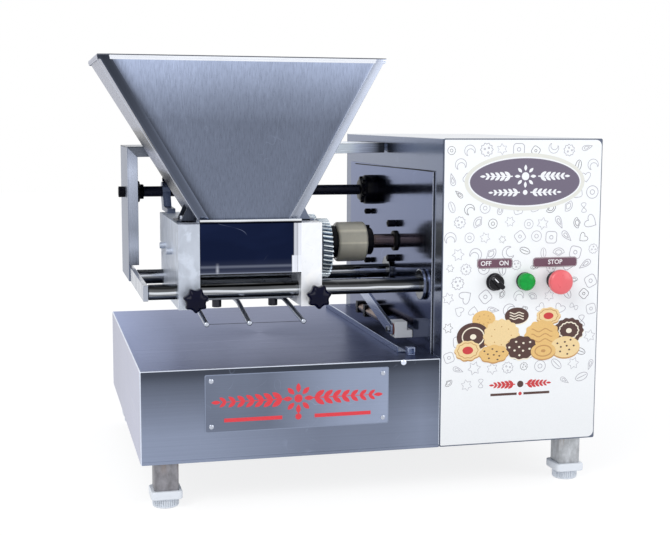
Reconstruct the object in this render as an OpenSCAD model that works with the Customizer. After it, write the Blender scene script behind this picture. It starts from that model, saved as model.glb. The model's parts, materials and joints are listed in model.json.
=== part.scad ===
/* [Base] */
// Width of the base box, left of the cabinet
base_w = 482; // [420:1:640]
// Depth of the base box and the cabinet
base_d = 600; // [520:1:760]
// Height of the base box
base_h = 147; // [110:1:200]
// Thickness of the stainless sheet
sheet = 1.5; // [1:0.1:2]
// Width of the name plate on the front of the base
plate_w = 296; // [180:1:340]
// Height of the name plate
plate_h = 92; // [60:1:100]
// Distance from the left edge of the base to the plate
plate_x = 99; // [60:1:130]

/* [Legs] */
// Side of the square leg tube
leg_side = 38; // [30:1:50]
// Wall of the leg tube
leg_wall = 1.5; // [1:0.1:3]
// Length of leg tube under the base
leg_len = 44; // [30:1:90]
// Distance from a leg to the left or right edge
leg_inset_x = 21; // [10:1:40]
// Distance from a leg to the front or back edge
leg_inset_y = 6; // [6:1:30]
// Side of the square collar of the plastic foot
foot_side = 49; // [42:1:60]
// Height of that collar
foot_collar = 13; // [8:1:20]
// Diameter of the round foot pad
foot_d = 42; // [30:1:48]
// Height of the round foot pad
foot_h = 15; // [10:1:25]

/* [Cabinet] */
// Width of the drive cabinet
cab_w = 274; // [240:1:380]
// Height of the drive cabinet
cab_h = 500; // [470:1:620]
// Thickness of the plate bolted on the cabinet's left wall
bearing_plate_t = 3; // [2:0.5:5]
// Distance from that plate to the front and back edges
bearing_plate_inset = 43; // [30:1:60]
// Distance from that plate's top to the cabinet's top
bearing_plate_drop = 55; // [40:1:70]

/* [Guide rods] */
// Diameter of the two guide rods
rod_d = 25; // [20:1:30]
// Height of both rods above the base
rod_z = 109; // [100:1:130]
// Distance from the front edge to the front rod
rod_front_y = 88; // [80:1:100]
// Distance between the two rods
rod_pitch = 197; // [185:1:215]
// Diameter of the round flange at the wall
flange_d = 52; // [40:1:60]
// Thickness of that flange
flange_t = 6; // [4:1:10]
// Distance from the left edge to the bar that ties the rods
tie_x = 14; // [8:1:25]
// Thickness of the tie bar
tie_t = 8; // [5:1:12]

/* [Upper frame] */
// Distance from the front edge to the frame
frame_y = 320; // [310:1:330]
// Depth of the frame
frame_d = 150; // [110:1:170]
// Width of the folded front and back faces
frame_face = 18; // [14:1:25]
// Height of the frame's top above the base
frame_top = 333; // [300:1:345]
// Diameter of the upper shaft
upper_d = 19; // [14:1:22]
// Height of the upper shaft above the base
upper_z = 251; // [245:1:262]
// Distance from the front edge to the upper shaft
upper_y = 385; // [378:1:400]
// Diameter of the black hub at the wall
wall_hub_d = 56; // [40:1:64]
// Length of that hub
wall_hub_len = 31; // [20:1:40]

/* [Roller housing] */
// Distance from the left edge to the left bearing block
block_x = 68; // [62:1:80]
// Width of each bearing block
block_w = 34; // [28:1:40]
// Clear width between the bearing blocks
throat_w = 163; // [140:1:170]
// How far the housing slides left to leave the coupling
housing_travel = 24; // [20:1:26]
// Distance from the front edge to the bearing blocks
block_y = 60; // [50:1:66]
// Depth of the lower blocks
block_d = 250; // [245:1:265]
// How much deeper the upper blocks are
block_extra = 15; // [0:1:20]
// Height of the blocks' underside above the base
block_z = 83; // [80:1:90]
// Height of the roller axes above the base
axis_z = 167; // [164:1:175]
// Height of the upper blocks
upper_block_h = 51; // [48:1:60]
// Height of the sheet covers
cover_h = 84; // [70:1:88]

/* [Rollers and gears] */
// Module of the gears
gear_m = 2.5; // [2.5:0.5:2.5]
// Teeth on each gear
gear_teeth = 38; // [36:2:40]
// Width of the gears
gear_w = 17; // [12:1:20]
// Gap between the right block and the gears
gear_gap = 13.5; // [8:0.5:20]
// Distance from the front edge to the front roller
roller_y = 152; // [150:1:158]
// Gap between the two rollers
nip = 4; // [2:1:12]
// Diameter of the rollers' journals
journal_d = 30; // [24:1:36]
// Number of flutes on each roller
flutes = 22; // [12:1:30]
// Diameter of each flute
flute_d = 8; // [5:1:9]

/* [Coupling] */
// Outer diameter of the nylon sleeve
sleeve_d = 70; // [60:1:80]
// Length of the nylon sleeve
sleeve_len = 53; // [44:1:60]
// Bore of the nylon sleeve
sleeve_bore = 52; // [44:1:54]
// Diameter of the flange on the roller's hub
hub_flange_d = 58; // [50:1:60]
// Diameter of the hub on the drive shaft
hub_d = 48; // [40:1:50]
// Diameter of the drive shaft
drive_d = 25; // [20:1:28]

/* [Hopper] */
// Width of the hopper's mouth
hopper_w = 450; // [380:1:480]
// Depth of the hopper's mouth
hopper_d = 262; // [220:1:290]
// Height of the hopper
hopper_h = 254; // [200:1:320]
// Distance from the left edge back to the hopper's mouth
hopper_x = -52; // [-60:1:-20]
// Distance from the front edge to the hopper's mouth
hopper_y = 38; // [30:1:50]
// Depth of the hopper's outlet
outlet_d = 172; // [150:1:176]
// Width of the folded strip at the hopper's front corners
corner_strip = 18; // [10:1:24]

/* [Die and wire frame] */
// Depth of the die block
die_d = 140; // [110:1:144]
// Diameter of each nozzle
nozzle_d = 30; // [24:1:32]
// Length of each nozzle under the die block
nozzle_len = 22; // [20:1:24]
// Diameter of the prongs
prong_d = 8; // [6:1:9]
// Diameter of the cutting wire
wire_d = 0.8; // [0.6:0.1:1.2]
// How far the wire travels
wire_travel = 170; // [120:1:175]

/* [Controls] */
// Height of the control row above the base's underside
control_z = 269; // [240:1:300]
// Distance from the panel's left edge to the selector
selector_x = 90; // [80:1:95]
// Distance between the selector and the lamp
lamp_step = 52; // [48:1:60]
// Distance between the lamp and the stop button
stop_step = 53; // [50:1:60]
// Diameter of the stop button's head
stop_d = 40; // [35:1:44]
// Diameter of the collars behind the controls
collar_d = 29; // [28:1:30]

/* [Hidden] */
$fn = 48;

// Clearances: running fit, loose gap between bodies, and room round a bolt
run_gap = 0.05;
gap = 0.3;
bolt_gap = 0.5;
// An overlap that makes a cut go cleanly through
cut = 1;

// Levels
floor_z = foot_h + foot_collar + leg_len;
top_z = floor_z + base_h;
cab_top = floor_z + cab_h;
total_w = base_w + cab_w;
wall_x = base_w - bearing_plate_t;

// Rods and rollers
rod_level = top_z + rod_z;
rod_rear_y = rod_front_y + rod_pitch;
rod_x0 = tie_x + tie_t;
axis_level = top_z + axis_z;
pitch_d = gear_m * gear_teeth;
rear_roller_y = roller_y + pitch_d;
roller_d = pitch_d - nip;
throat_x = block_x + block_w;
right_x = throat_x + throat_w;
right_end = right_x + block_w;
block_level = top_z + block_z;
block_top = axis_level + upper_block_h;
gear_x = right_end + gear_gap;
upper_level = top_z + upper_z;
stub_d = 11;
stub_len = 9;

// Coupling, from the gears to the wall
hub_flange_x = gear_x + gear_w + 20;
hub_flange_w = 17.5;
sleeve_x = hub_flange_x + hub_flange_w + 0.5;
hub_in = housing_travel - 2;
hub_out = 13;
drive_x0 = sleeve_x + sleeve_len - hub_in;
drive_x1 = base_w + 60;
seal_d = 36;
seal_t = 5;

// Hopper
hopper_z = block_top + 6;
hopper_top = hopper_z + hopper_h;
outlet_y = block_y + 6;
rim_h = 8;
rim_t = 1.5;
strip_depth = 4;

// Die and wire frame
die_z0 = block_level + 4;
die_z1 = axis_level - roller_d / 2 - 1;
nip_y = roller_y + pitch_d / 2;
prong_z = block_level - 1.5 - prong_d / 2;
prong_tip_y = 36;
prong_tip_z = die_z0 - nozzle_len - 2;
prong_bend_y = 140;
nozzle_gap = 3;
prong_xs = [throat_x + 6, throat_x + 74, throat_x + throat_w - 2];
nozzle_xs = [for (i = [1, 2]) prong_xs[i] - prong_d / 2 - nozzle_gap - nozzle_d / 2];
cross_y = 385;
cross_d = 12;
slide_x0 = base_w - 35;
slide_w = 22;
slide_d = 30;
slide_h = 28;
slide_y = 138;
slide_z = top_z + 10;
ledge_h = 13;
ledge_w = 9.7;
bar_d = 14;
strap_t = 6;
strap_h = 16;

// Wall bolts: a pair round the drive shaft and a pair behind it
bolt_d = 10;
bolt_head = 17;
bolt_head_h = 6.5;
wall_bolt_spots = [
    [rear_roller_y, axis_level + 31], [rear_roller_y, axis_level - 31],
    [rear_roller_y + 161, axis_level + 41], [rear_roller_y + 161, axis_level - 53]
];

// Controls
control_level = floor_z + control_z;
selector_at = base_w + selector_x;
lamp_at = selector_at + lamp_step;
stop_at = lamp_at + stop_step;
panel_hole = 22.5;
panel_shank = 22;

// The origin lies under the middle of the whole object
stop_out = 34;
gland_out = 4;
x_min = hopper_x - rim_t;
shift = [-(x_min + total_w) / 2, -(base_d + gland_out - stop_out) / 2, 0];

// Shared shapes
module box(x0, x1, y0, y1, z0, z1) {
    translate([x0, y0, z0]) cube([x1 - x0, y1 - y0, z1 - z0]);
}

module rod_x(d, x0, x1, y, z, sides = 48) {
    translate([x0, y, z]) rotate([0, 90, 0]) cylinder(d = d, h = x1 - x0, $fn = sides);
}

module rod_y(d, x, y0, y1, z, sides = 48) {
    translate([x, y0, z]) rotate([-90, 0, 0]) cylinder(d = d, h = y1 - y0, $fn = sides);
}

module rod_z(d, x, y, z0, z1, sides = 48) {
    translate([x, y, z0]) cylinder(d = d, h = z1 - z0, $fn = sides);
}

// Across flats to across corners of a hexagon
function corners(flats) = flats / cos(30);

// Where each leg's corner nearest the origin stands
function leg_spot(i) = [
    (i % 2 == 0) ? leg_inset_x : total_w - leg_inset_x - leg_side,
    (i < 2) ? leg_inset_y : base_d - leg_inset_y - leg_side
];

// Base
module base_shell() color("#8d92a0") difference() {
    box(0, base_w, 0, base_d, floor_z, top_z);
    box(sheet, base_w + cut, sheet, base_d - sheet, floor_z + sheet, top_z - sheet);
}

module nameplate() color("#9a9fac") difference() {
    box(plate_x, plate_x + plate_w, -plate_t, 0, nameplate_z, nameplate_z + plate_h);
    for (p = plate_screw_spots()) rod_y(plate_screw_d + 0.2, p[0], -plate_t - cut, cut, p[1], 24);
}

plate_t = 1;
plate_rise = 18;
plate_screw_in = 10;
plate_screw_d = 4;
plate_screw_head = [8, 5, 2];
nameplate_z = floor_z + base_h / 2 - plate_h / 2 + plate_rise;

function plate_screw_spots() = [
    for (x = [plate_x + plate_screw_in, plate_x + plate_w - plate_screw_in],
         z = [nameplate_z + plate_screw_in, nameplate_z + plate_h - plate_screw_in]) [x, z]
];

module nameplate_screws() color("#c9ccd4")
    for (p = plate_screw_spots()) {
        rod_y(plate_screw_d, p[0], -plate_t, 0, p[1], 24);
        translate([p[0], -plate_t, p[1]]) rotate([90, 0, 0])
            cylinder(d1 = plate_screw_head[0], d2 = plate_screw_head[1], h = plate_screw_head[2]);
    }

// Cabinet
module cabinet_shell() color("#9498a8") difference() {
    box(base_w, total_w, sheet, base_d - sheet, floor_z, cab_top);
    box(base_w + sheet, total_w - sheet, 0, base_d, floor_z + sheet, cab_top - sheet);
    wall_holes(base_w - cut, base_w + sheet + cut);
}

module wall_holes(x0, x1) {
    rod_x(seal_d - 4, x0, x1, rear_roller_y, axis_level);
    for (p = wall_bolt_spots) rod_x(bolt_d + bolt_gap, x0, x1, p[0], p[1], 24);
}

module cabinet_front() color("#f2f2f4") difference() {
    box(base_w, total_w, 0, sheet, floor_z, cab_top);
    for (x = [selector_at, lamp_at, stop_at]) rod_y(panel_hole, x, -cut, sheet + cut, control_level);
}

module cabinet_back() color("#9498a8") difference() {
    box(base_w, total_w, base_d - sheet, base_d, floor_z, cab_top);
    rod_y(gland_d + bolt_gap, gland_x, base_d - sheet - cut, base_d + cut, gland_z, 24);
    for (i = [0 : vents - 1])
        box(vent_x, vent_x + vent_w, base_d - sheet - cut, base_d + cut, vent_z + i * vent_pitch,
            vent_z + i * vent_pitch + vent_h);
}

vents = 8;
vent_w = 120;
vent_h = 5;
vent_pitch = 18;
vent_drop = 210;
vent_x = base_w + (cab_w - vent_w) / 2;
vent_z = floor_z + cab_h - vent_drop;
gland_d = 20;
gland_bore = 9;
gland_nut = 24;
gland_nut_w = 6;
gland_x = total_w - 60;
gland_z = floor_z + 50;

module bearing_plate() color("#a4a8b6") difference() {
    box(wall_x, base_w, bearing_plate_inset, base_d - bearing_plate_inset, top_z, cab_top - bearing_plate_drop);
    wall_holes(wall_x - cut, base_w + cut);
}

// Legs and feet
module leg(i) color("#8a8a86") translate([leg_spot(i)[0], leg_spot(i)[1], foot_h + foot_collar]) difference() {
    cube([leg_side, leg_side, leg_len]);
    translate([leg_wall, leg_wall, -cut])
        cube([leg_side - 2 * leg_wall, leg_side - 2 * leg_wall, leg_len + 2 * cut]);
}

foot_plug = 12;
foot_grooves = 3;
groove = 2;

module foot(i) color("#f0f0ee")
    translate([leg_spot(i)[0] + leg_side / 2, leg_spot(i)[1] + leg_side / 2, 0]) {
        cylinder(d = foot_d - 2 * groove, h = foot_h);
        for (k = [0 : foot_grooves - 1]) translate([0, 0, k * foot_h / foot_grooves])
            cylinder(d = foot_d, h = foot_h / foot_grooves - groove);
        translate([0, 0, foot_h + foot_collar / 2]) cube([foot_side, foot_side, foot_collar], center = true);
        translate([0, 0, foot_h + foot_collar + foot_plug / 2])
            cube([leg_side - 2 * leg_wall, leg_side - 2 * leg_wall, foot_plug], center = true);
    }

// Guide rods and the bar that ties them
rod_ys = [rod_front_y, rod_rear_y];

module guide_rods() color("#b9bcc8")
    for (y = rod_ys) rod_x(rod_d, rod_x0, wall_x, y, rod_level);

module rod_flanges() color("#aeb2be")
    for (y = rod_ys) difference() {
        rod_x(flange_d, wall_x - flange_t, wall_x, y, rod_level);
        rod_x(rod_d, wall_x - flange_t - cut, wall_x + cut, y, rod_level);
    }

module tie_bar() color("#b4b7c4")
    box(tie_x, rod_x0, rod_front_y - rod_d / 2 - 2, frame_y + frame_d, rod_level - rod_d / 2, rod_level + rod_d / 2);

// Upper frame: a folded channel from the tie bar up and over to the cabinet
frame_x = tie_x - 2;
frame_t = 2;
frame_z0 = rod_level - rod_d / 2;
frame_z1 = top_z + frame_top;

module u_frame() color("#8f93a0") difference() {
    union() {
        box(frame_x, frame_x + frame_t, frame_y, frame_y + frame_d, frame_z0, frame_z1);
        box(frame_x, wall_x, frame_y, frame_y + frame_d, frame_z1 - frame_t, frame_z1);
        for (y = [frame_y, frame_y + frame_d - frame_t]) {
            box(frame_x, frame_x + frame_face, y, y + frame_t, rod_level + rod_d / 2 + 2, frame_z1);
            box(frame_x, wall_x, y, y + frame_t, frame_z1 - frame_face, frame_z1);
        }
    }
    rod_x(upper_bolt_d + bolt_gap, frame_x - cut, frame_x + frame_t + cut, upper_y, upper_level, 24);
}

upper_bolt_d = 12;
upper_bolt_out = 4;
nut_x = frame_x + frame_face + 4;
nut_end = nut_x + 11;

// The upper shaft has a turned-down left end that passes the frame
module upper_shaft() color("#3a3a44") {
    rod_x(upper_d, nut_end, wall_x, upper_y, upper_level);
    rod_x(upper_bolt_d, frame_x - upper_bolt_out, nut_end, upper_y, upper_level);
}

module shaft_fixings() color("#1c1c22") difference() {
    union() {
        rod_x(corners(19), frame_x - 12, frame_x, upper_y, upper_level, 6);
        rod_x(24, frame_x + frame_t, nut_x, upper_y, upper_level);
        rod_x(38, nut_x, nut_x + 4, upper_y, upper_level);
        rod_x(corners(26), nut_x + 4, nut_end, upper_y, upper_level, 6);
    }
    rod_x(upper_bolt_d, frame_x - upper_bolt_out, nut_end + cut, upper_y, upper_level);
}

hub_chamfer = 5;

module wall_hub() color("#14141a") difference() {
    union() {
        rod_x(wall_hub_d, wall_x - wall_hub_len + hub_chamfer, wall_x, upper_y, upper_level);
        translate([wall_x - wall_hub_len, upper_y, upper_level]) rotate([0, 90, 0])
            cylinder(d1 = wall_hub_d - 2.4 * hub_chamfer, d2 = wall_hub_d, h = hub_chamfer);
    }
    rod_x(upper_d, wall_x - wall_hub_len - cut, wall_x + cut, upper_y, upper_level);
}

// Bearing blocks, split at the roller axes
module journal_bores(x0, x1)
    for (y = [roller_y, rear_roller_y]) rod_x(journal_d + 2 * run_gap, x0, x1, y, axis_level);

module block_upper(x) color("#c4c8d0") difference() {
    box(x, x + block_w, block_y, block_y + block_d + block_extra, axis_level, block_top);
    journal_bores(x - cut, x + block_w + cut);
    rod_z(hopper_bolt_d + 0.4, x + block_w / 2, bracket_y, block_top - hopper_bolt_in - 2, block_top + cut, 24);
}

block_step = 18;
block_slope = 30;

module block_lower(x) color("#bcc0c9") difference() {
    translate([x, 0, 0]) rotate([90, 0, 90]) linear_extrude(block_w) polygon([
        [block_y, block_level], [block_y + block_d - block_slope, block_level],
        [block_y + block_d, block_level + block_step],
        [block_y + block_d, axis_level], [block_y, axis_level]
    ]);
    journal_bores(x - cut, x + block_w + cut);
    for (y = rod_ys)
        rod_x(rod_d + 2 * run_gap, x - cut, x + block_w + cut, y, rod_level);
    rod_y(knob_stud + 2 * run_gap, x + knob_in, block_y - cut, rod_front_y, knob_z, 24);
}

// Star knobs that clamp the blocks to the front rod
knob_stud = 8;
knob_in = 24;
knob_d = 40;
knob_neck_d = 18;
knob_neck = 14;
knob_h = 20;
knob_crown = 28;
knob_points = 8;
knob_notch = 12;
knob_z = rod_level - 8;
knob_tip_y = rod_front_y - rod_d / 2 - gap;

module knob(x) color("#15151b") {
    rod_y(knob_stud, x, block_y - gap, knob_tip_y, knob_z, 24);
    rod_y(knob_neck_d, x, block_y - knob_neck, block_y - gap, knob_z);
    difference() {
        intersection() {
            rod_y(knob_d, x, block_y - knob_neck - knob_h, block_y - knob_neck, knob_z);
            translate([x, block_y - knob_neck - knob_h + knob_crown, knob_z]) sphere(r = knob_crown);
        }
        for (i = [0 : knob_points - 1])
            translate([x, 0, knob_z]) rotate([0, i * 360 / knob_points, 0])
                translate([knob_d / 2 + 2.5, block_y - knob_neck - knob_h - 6, 0])
                    rotate([-90, 0, 0]) cylinder(d = knob_notch, h = knob_h + 10);
    }
}

// Sheet covers between the blocks
cover_z0 = block_top + 4 - cover_h;
cover_bead = 7;
cover_lip = 20;
cover_rear_y = block_y + block_d - 4;

module cover_front() color("#2c3350") {
    box(throat_x, right_x, block_y, block_y + sheet, cover_z0, cover_z0 + cover_h);
    rod_x(cover_bead, throat_x, right_x, block_y + 1, cover_z0 + cover_h, 32);
    box(throat_x, right_x, block_y, block_y + cover_lip, cover_z0 - sheet, cover_z0);
}

module cover_rear() color("#8f93a0") {
    box(throat_x, right_x, cover_rear_y, cover_rear_y + sheet, cover_z0, block_top + sheet);
    box(throat_x, right_x, outlet_y + outlet_d + 3, cover_rear_y, block_top, block_top + sheet);
}

// Die block with its feed slot, and the two nozzles under it
nozzle_wall = 4;
slot_d = 24;
slot_floor = 14;
slot_wall = 6;
die_bolt = 13;
die_bolt_h = 3.5;
die_bolt_in = [18, 14];

module die_block() color("#c2c6ce") difference() {
    union() {
        box(throat_x, right_x, nip_y - die_d / 2, nip_y + die_d / 2, die_z0, die_z1);
        for (x = [throat_x + die_bolt_in[0], right_x - die_bolt_in[0]], s = [-1, 1])
            rod_z(corners(die_bolt), x, nip_y + s * (die_d / 2 - die_bolt_in[1]), die_z0 - die_bolt_h, die_z0, 6);
    }
    box(throat_x + slot_wall, right_x - slot_wall, nip_y - slot_d / 2, nip_y + slot_d / 2, die_z0 + slot_floor,
        die_z1 + cut);
    for (x = nozzle_xs) rod_z(nozzle_d - 2 * nozzle_wall, x, nip_y, die_z0 - cut, die_z0 + slot_floor + cut);
}

module nozzles() color("#c2c6ce")
    for (x = nozzle_xs) difference() {
        rod_z(nozzle_d, x, nip_y, die_z0 - nozzle_len, die_z0);
        rod_z(nozzle_d - 2 * nozzle_wall, x, nip_y, die_z0 - nozzle_len - cut, die_z0 + cut);
    }

// Fluted rollers
module roller(y, x_end) color("#c9ccd4") {
    difference() {
        rod_x(roller_d, throat_x + gap, right_x - gap, y, axis_level, 96);
        for (i = [0 : flutes - 1])
            translate([0, y, axis_level]) rotate([i * 360 / flutes, 0, 0])
                rod_x(flute_d, throat_x - cut, right_x + cut, roller_d / 2 + 1, 0, 24);
    }
    rod_x(journal_d, block_x, throat_x + cut, y, axis_level);
    rod_x(journal_d, right_x - cut, right_end + 2, y, axis_level);
    rod_x(shaft_end_d, right_end, x_end, y, axis_level);
    rod_x(stub_d, block_x - stub_len, block_x + cut, y, axis_level, 24);
}

shaft_end_d = 22;

module roller_front() roller(roller_y, gear_x + gear_w + 3);

module roller_rear() roller(rear_roller_y, sleeve_x + hub_in);

// Spur gear: straight flanks from root to tip
function tooth_half(r, t) = t / (2 * r) * 180 / PI;

function gear_points(teeth, m, back) =
    let (rp = teeth * m / 2, rt = rp + 0.9 * m, rr = rp - 1.2 * m, tp = PI * m / 2 - back,
         ht = tooth_half(rt, tp - 1.8 * m * tan(20)), hr = tooth_half(rr, tp + 2.4 * m * tan(20)))
    [for (i = [0 : teeth - 1], k = [[-1, rr, hr], [-1, rt, ht], [1, rt, ht], [1, rr, hr]])
        let (a = i * 360 / teeth + k[0] * k[2]) [k[1] * cos(a), k[1] * sin(a)]];

gear_back = 0.5;
gear_recess = 4;
gear_rim = 10;
gear_hub = 9;

module gear(y, turn) color("#aab4b8")
    translate([gear_x, y, axis_level]) rotate([90, 0, 90]) difference() {
        rotate(turn) linear_extrude(gear_w) polygon(gear_points(gear_teeth, gear_m, gear_back));
        translate([0, 0, -cut]) cylinder(d = shaft_end_d + 2 * run_gap, h = gear_w + 2 * cut);
        translate([0, 0, gear_w - gear_recess]) difference() {
            cylinder(d = pitch_d - 2 * gear_rim, h = gear_recess + cut);
            translate([0, 0, -cut]) cylinder(d = shaft_end_d + 2 * gear_hub, h = gear_recess + 3 * cut);
        }
    }

module gear_front() gear(roller_y, 0);

module gear_rear() gear(rear_roller_y, 180 / gear_teeth);

// Hopper: a tapered sheet funnel with a folded strip at each front corner
function funnel(x0, x1, y0, y1, in) = [
    [x0 + in, y1 - in], [x0 + in, y0 + in + strip_depth], [x0 + corner_strip + in, y0 + in],
    [x1 - corner_strip - in, y0 + in], [x1 - in, y0 + in + strip_depth], [x1 - in, y1 - in]
];

module funnel_solid(in, over) hull() {
    translate([0, 0, hopper_z - over]) linear_extrude(0.01)
        polygon(funnel(throat_x - 1, right_x - 1, outlet_y, outlet_y + outlet_d, in));
    translate([0, 0, hopper_top - 0.01 + over]) linear_extrude(0.01)
        polygon(funnel(hopper_x, hopper_x + hopper_w, hopper_y, hopper_y + hopper_d, in));
}

bracket_y = outlet_y + 62;
foot_plate = 3;
foot_half = 26;
foot_in = 3;
gusset_h = 34;
hopper_bolt_d = 6;
hopper_bolt_in = 12;

module hopper_foot(x, side) {
    foot_w = block_w - 2 * foot_in;
    difference() {
        box(x, x + foot_w, bracket_y - foot_half, bracket_y + foot_half, block_top, block_top + foot_plate);
        rod_z(hopper_bolt_d + 0.6, x + foot_w / 2, bracket_y, block_top - cut, block_top + foot_plate + cut, 24);
    }
    for (y = [bracket_y - foot_half, bracket_y + foot_half - foot_plate])
        translate([side > 0 ? x + foot_w : x, y, block_top]) rotate([90, 0, 0]) mirror([side > 0 ? 1 : 0, 0, 0])
            translate([0, 0, -foot_plate]) linear_extrude(foot_plate)
                polygon([[-3, 0], [foot_w - 6, 0], [6, gusset_h], [-4, 12]]);
}

module hopper() color("#878d9c") {
    difference() {
        funnel_solid(0, 0);
        funnel_solid(sheet, 1);
    }
    difference() {
        translate([0, 0, hopper_top - rim_h]) linear_extrude(rim_h)
            polygon(funnel(hopper_x, hopper_x + hopper_w, hopper_y, hopper_y + hopper_d, -rim_t));
        translate([0, 0, hopper_top - rim_h - cut]) linear_extrude(rim_h + 2 * cut)
            polygon(funnel(hopper_x, hopper_x + hopper_w, hopper_y, hopper_y + hopper_d, sheet));
    }
    hopper_foot(block_x + foot_in, 1);
    hopper_foot(right_x + foot_in, -1);
}

module hopper_bolts() color("#cfd2da")
    for (x = [block_x + block_w / 2, right_x + block_w / 2]) {
        rod_z(hopper_bolt_d, x, bracket_y, block_top - hopper_bolt_in, block_top + foot_plate, 24);
        rod_z(2 * hopper_bolt_d, x, bracket_y, block_top + foot_plate, block_top + foot_plate + 1.5, 24);
        rod_z(corners(10), x, bracket_y, block_top + foot_plate + 1.5, block_top + foot_plate + 6, 6);
    }

// Bracket that ties the housing to the upper shaft
bracket_x = block_x + 10;
bracket_w = 14;
lug_d = upper_d + 16;

module support_bracket() color("#9094a0") difference() {
    union() {
        rod_x(lug_d, bracket_x, bracket_x + bracket_w, upper_y, upper_level);
        translate([bracket_x, 0, 0]) rotate([90, 0, 90]) linear_extrude(bracket_w) polygon([
            [upper_y - lug_d / 2, upper_level], [upper_y + lug_d / 2 - 1, upper_level],
            [upper_y - 2, block_top], [block_y + block_d + block_extra - 30, block_top],
            [block_y + block_d + block_extra - 30, block_top + 8], [upper_y - 32, block_top + 8]
        ]);
    }
    rod_x(upper_d + 2 * run_gap, bracket_x - cut, bracket_x + bracket_w + cut, upper_y, upper_level);
    rod_z(5.1, bracket_x + bracket_w / 2, upper_y, upper_level + upper_d / 2, upper_level + lug_d, 24);
}

clamp_z = upper_level + lug_d / 2;

module clamp_knob() color("#15151b") {
    rod_z(5, bracket_x + bracket_w / 2, upper_y, upper_level + upper_d / 2 + gap, clamp_z + 4, 24);
    rod_z(12, bracket_x + bracket_w / 2, upper_y, clamp_z + gap, clamp_z + 8, 24);
    translate([bracket_x + bracket_w / 2, upper_y, clamp_z + 8]) rotate([90, 0, 0])
        translate([0, 0, -3]) linear_extrude(6) polygon([[-6, 0], [6, 0], [9, 12], [5, 22], [-5, 22], [-9, 12]]);
}

// Sleeve coupling and drive shaft
module hub_roller() color("#17171d") difference() {
    union() {
        rod_x(hub_flange_d, hub_flange_x, hub_flange_x + hub_flange_w, rear_roller_y, axis_level);
        rod_x(sleeve_bore - 2 * gap, hub_flange_x, sleeve_x + hub_in - 1, rear_roller_y, axis_level);
    }
    rod_x(shaft_end_d, hub_flange_x - cut, sleeve_x + hub_in + cut, rear_roller_y, axis_level);
}

module hub_drive() color("#17171d") difference() {
    union() {
        rod_x(sleeve_bore, drive_x0, sleeve_x + sleeve_len, rear_roller_y, axis_level);
        rod_x(hub_d, drive_x0, sleeve_x + sleeve_len + hub_out, rear_roller_y, axis_level);
        rod_z(8, sleeve_x + sleeve_len + hub_out / 2, rear_roller_y, axis_level, axis_level + hub_d / 2 + 5, 24);
    }
    rod_x(drive_d, drive_x0 - cut, sleeve_x + sleeve_len + hub_out + cut, rear_roller_y, axis_level);
}

sleeve_edge = 5;

module coupling_sleeve() color("#cfcabb")
    translate([sleeve_x, rear_roller_y, axis_level]) rotate([0, 90, 0]) rotate_extrude() polygon([
        [sleeve_bore / 2 + run_gap, 0], [sleeve_d / 2 - sleeve_edge, 0], [sleeve_d / 2, sleeve_edge],
        [sleeve_d / 2, sleeve_len - sleeve_edge], [sleeve_d / 2 - sleeve_edge, sleeve_len],
        [sleeve_bore / 2 + run_gap, sleeve_len]
    ]);

module drive_shaft() color("#6b5350") rod_x(drive_d, drive_x0, drive_x1, rear_roller_y, axis_level);

module shaft_seal() color("#101014") difference() {
    rod_x(seal_d, wall_x - seal_t, wall_x, rear_roller_y, axis_level);
    rod_x(drive_d + 2 * gap, wall_x - seal_t - cut, wall_x + cut, rear_roller_y, axis_level);
}

module wall_bolts() color("#1a1a22")
    for (p = wall_bolt_spots) {
        rod_x(corners(bolt_head), wall_x - bolt_head_h, wall_x, p[0], p[1], 6);
        rod_x(bolt_d, wall_x, base_w + sheet + 12, p[0], p[1], 24);
        rod_x(corners(bolt_head), base_w + sheet, base_w + sheet + 8, p[0], p[1], 6);
    }

// Gear motor inside the cabinet
gearbox_x = base_w + sheet + 8.3;
gearbox_w = 136;
motor_d = 112;
motor_len = 190;
gearbox_z0 = axis_level - 56;

module gearbox() color("#6f7680") difference() {
    union() {
        box(gearbox_x, gearbox_x + gearbox_w, rear_roller_y - 58, rear_roller_y + 58, gearbox_z0, axis_level + 56);
        rod_x(90, base_w + sheet, gearbox_x + cut, rear_roller_y, axis_level);
    }
    rod_x(drive_d + 2 * run_gap, base_w, drive_x1 + 1, rear_roller_y, axis_level);
    for (s = [-1, 1]) rod_x(corners(bolt_head) + 2, base_w, gearbox_x + 6, rear_roller_y, axis_level + s * 31, 24);
}

module gear_motor() {
    gearbox();
    motor();
}

module motor() color("#5c646e") {
    rod_z(motor_d, gearbox_x + gearbox_w / 2, rear_roller_y, gearbox_z0 - motor_len, gearbox_z0 - 10);
    rod_z(motor_d + 20, gearbox_x + gearbox_w / 2, rear_roller_y, gearbox_z0 - 10, gearbox_z0);
    rod_z(motor_d + 8, gearbox_x + gearbox_w / 2, rear_roller_y, gearbox_z0 - motor_len - 4, gearbox_z0 - motor_len + 30);
    box(gearbox_x + gearbox_w / 2 + motor_d / 2 - 8, gearbox_x + gearbox_w / 2 + motor_d / 2 + 34,
        rear_roller_y - 40, rear_roller_y + 40, gearbox_z0 - 130, gearbox_z0 - 50);
}

// Wire frame: a cross bar, three bent prongs and the strap to the slide block
module prong(x) {
    rod_y(prong_d, x, prong_bend_y, cross_y, prong_z, 24);
    translate([x, prong_bend_y, prong_z]) sphere(d = prong_d + 0.6, $fn = 24);
    slope = atan2(prong_z - prong_tip_z, prong_bend_y - prong_tip_y);
    reach = norm([prong_bend_y - prong_tip_y, prong_z - prong_tip_z]);
    translate([x, prong_tip_y, prong_tip_z]) rotate([slope, 0, 0]) {
        rod_y(prong_d, 0, 0, reach, 0, 24);
        sphere(d = prong_d + 0.6, $fn = 24);
    }
}

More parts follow.
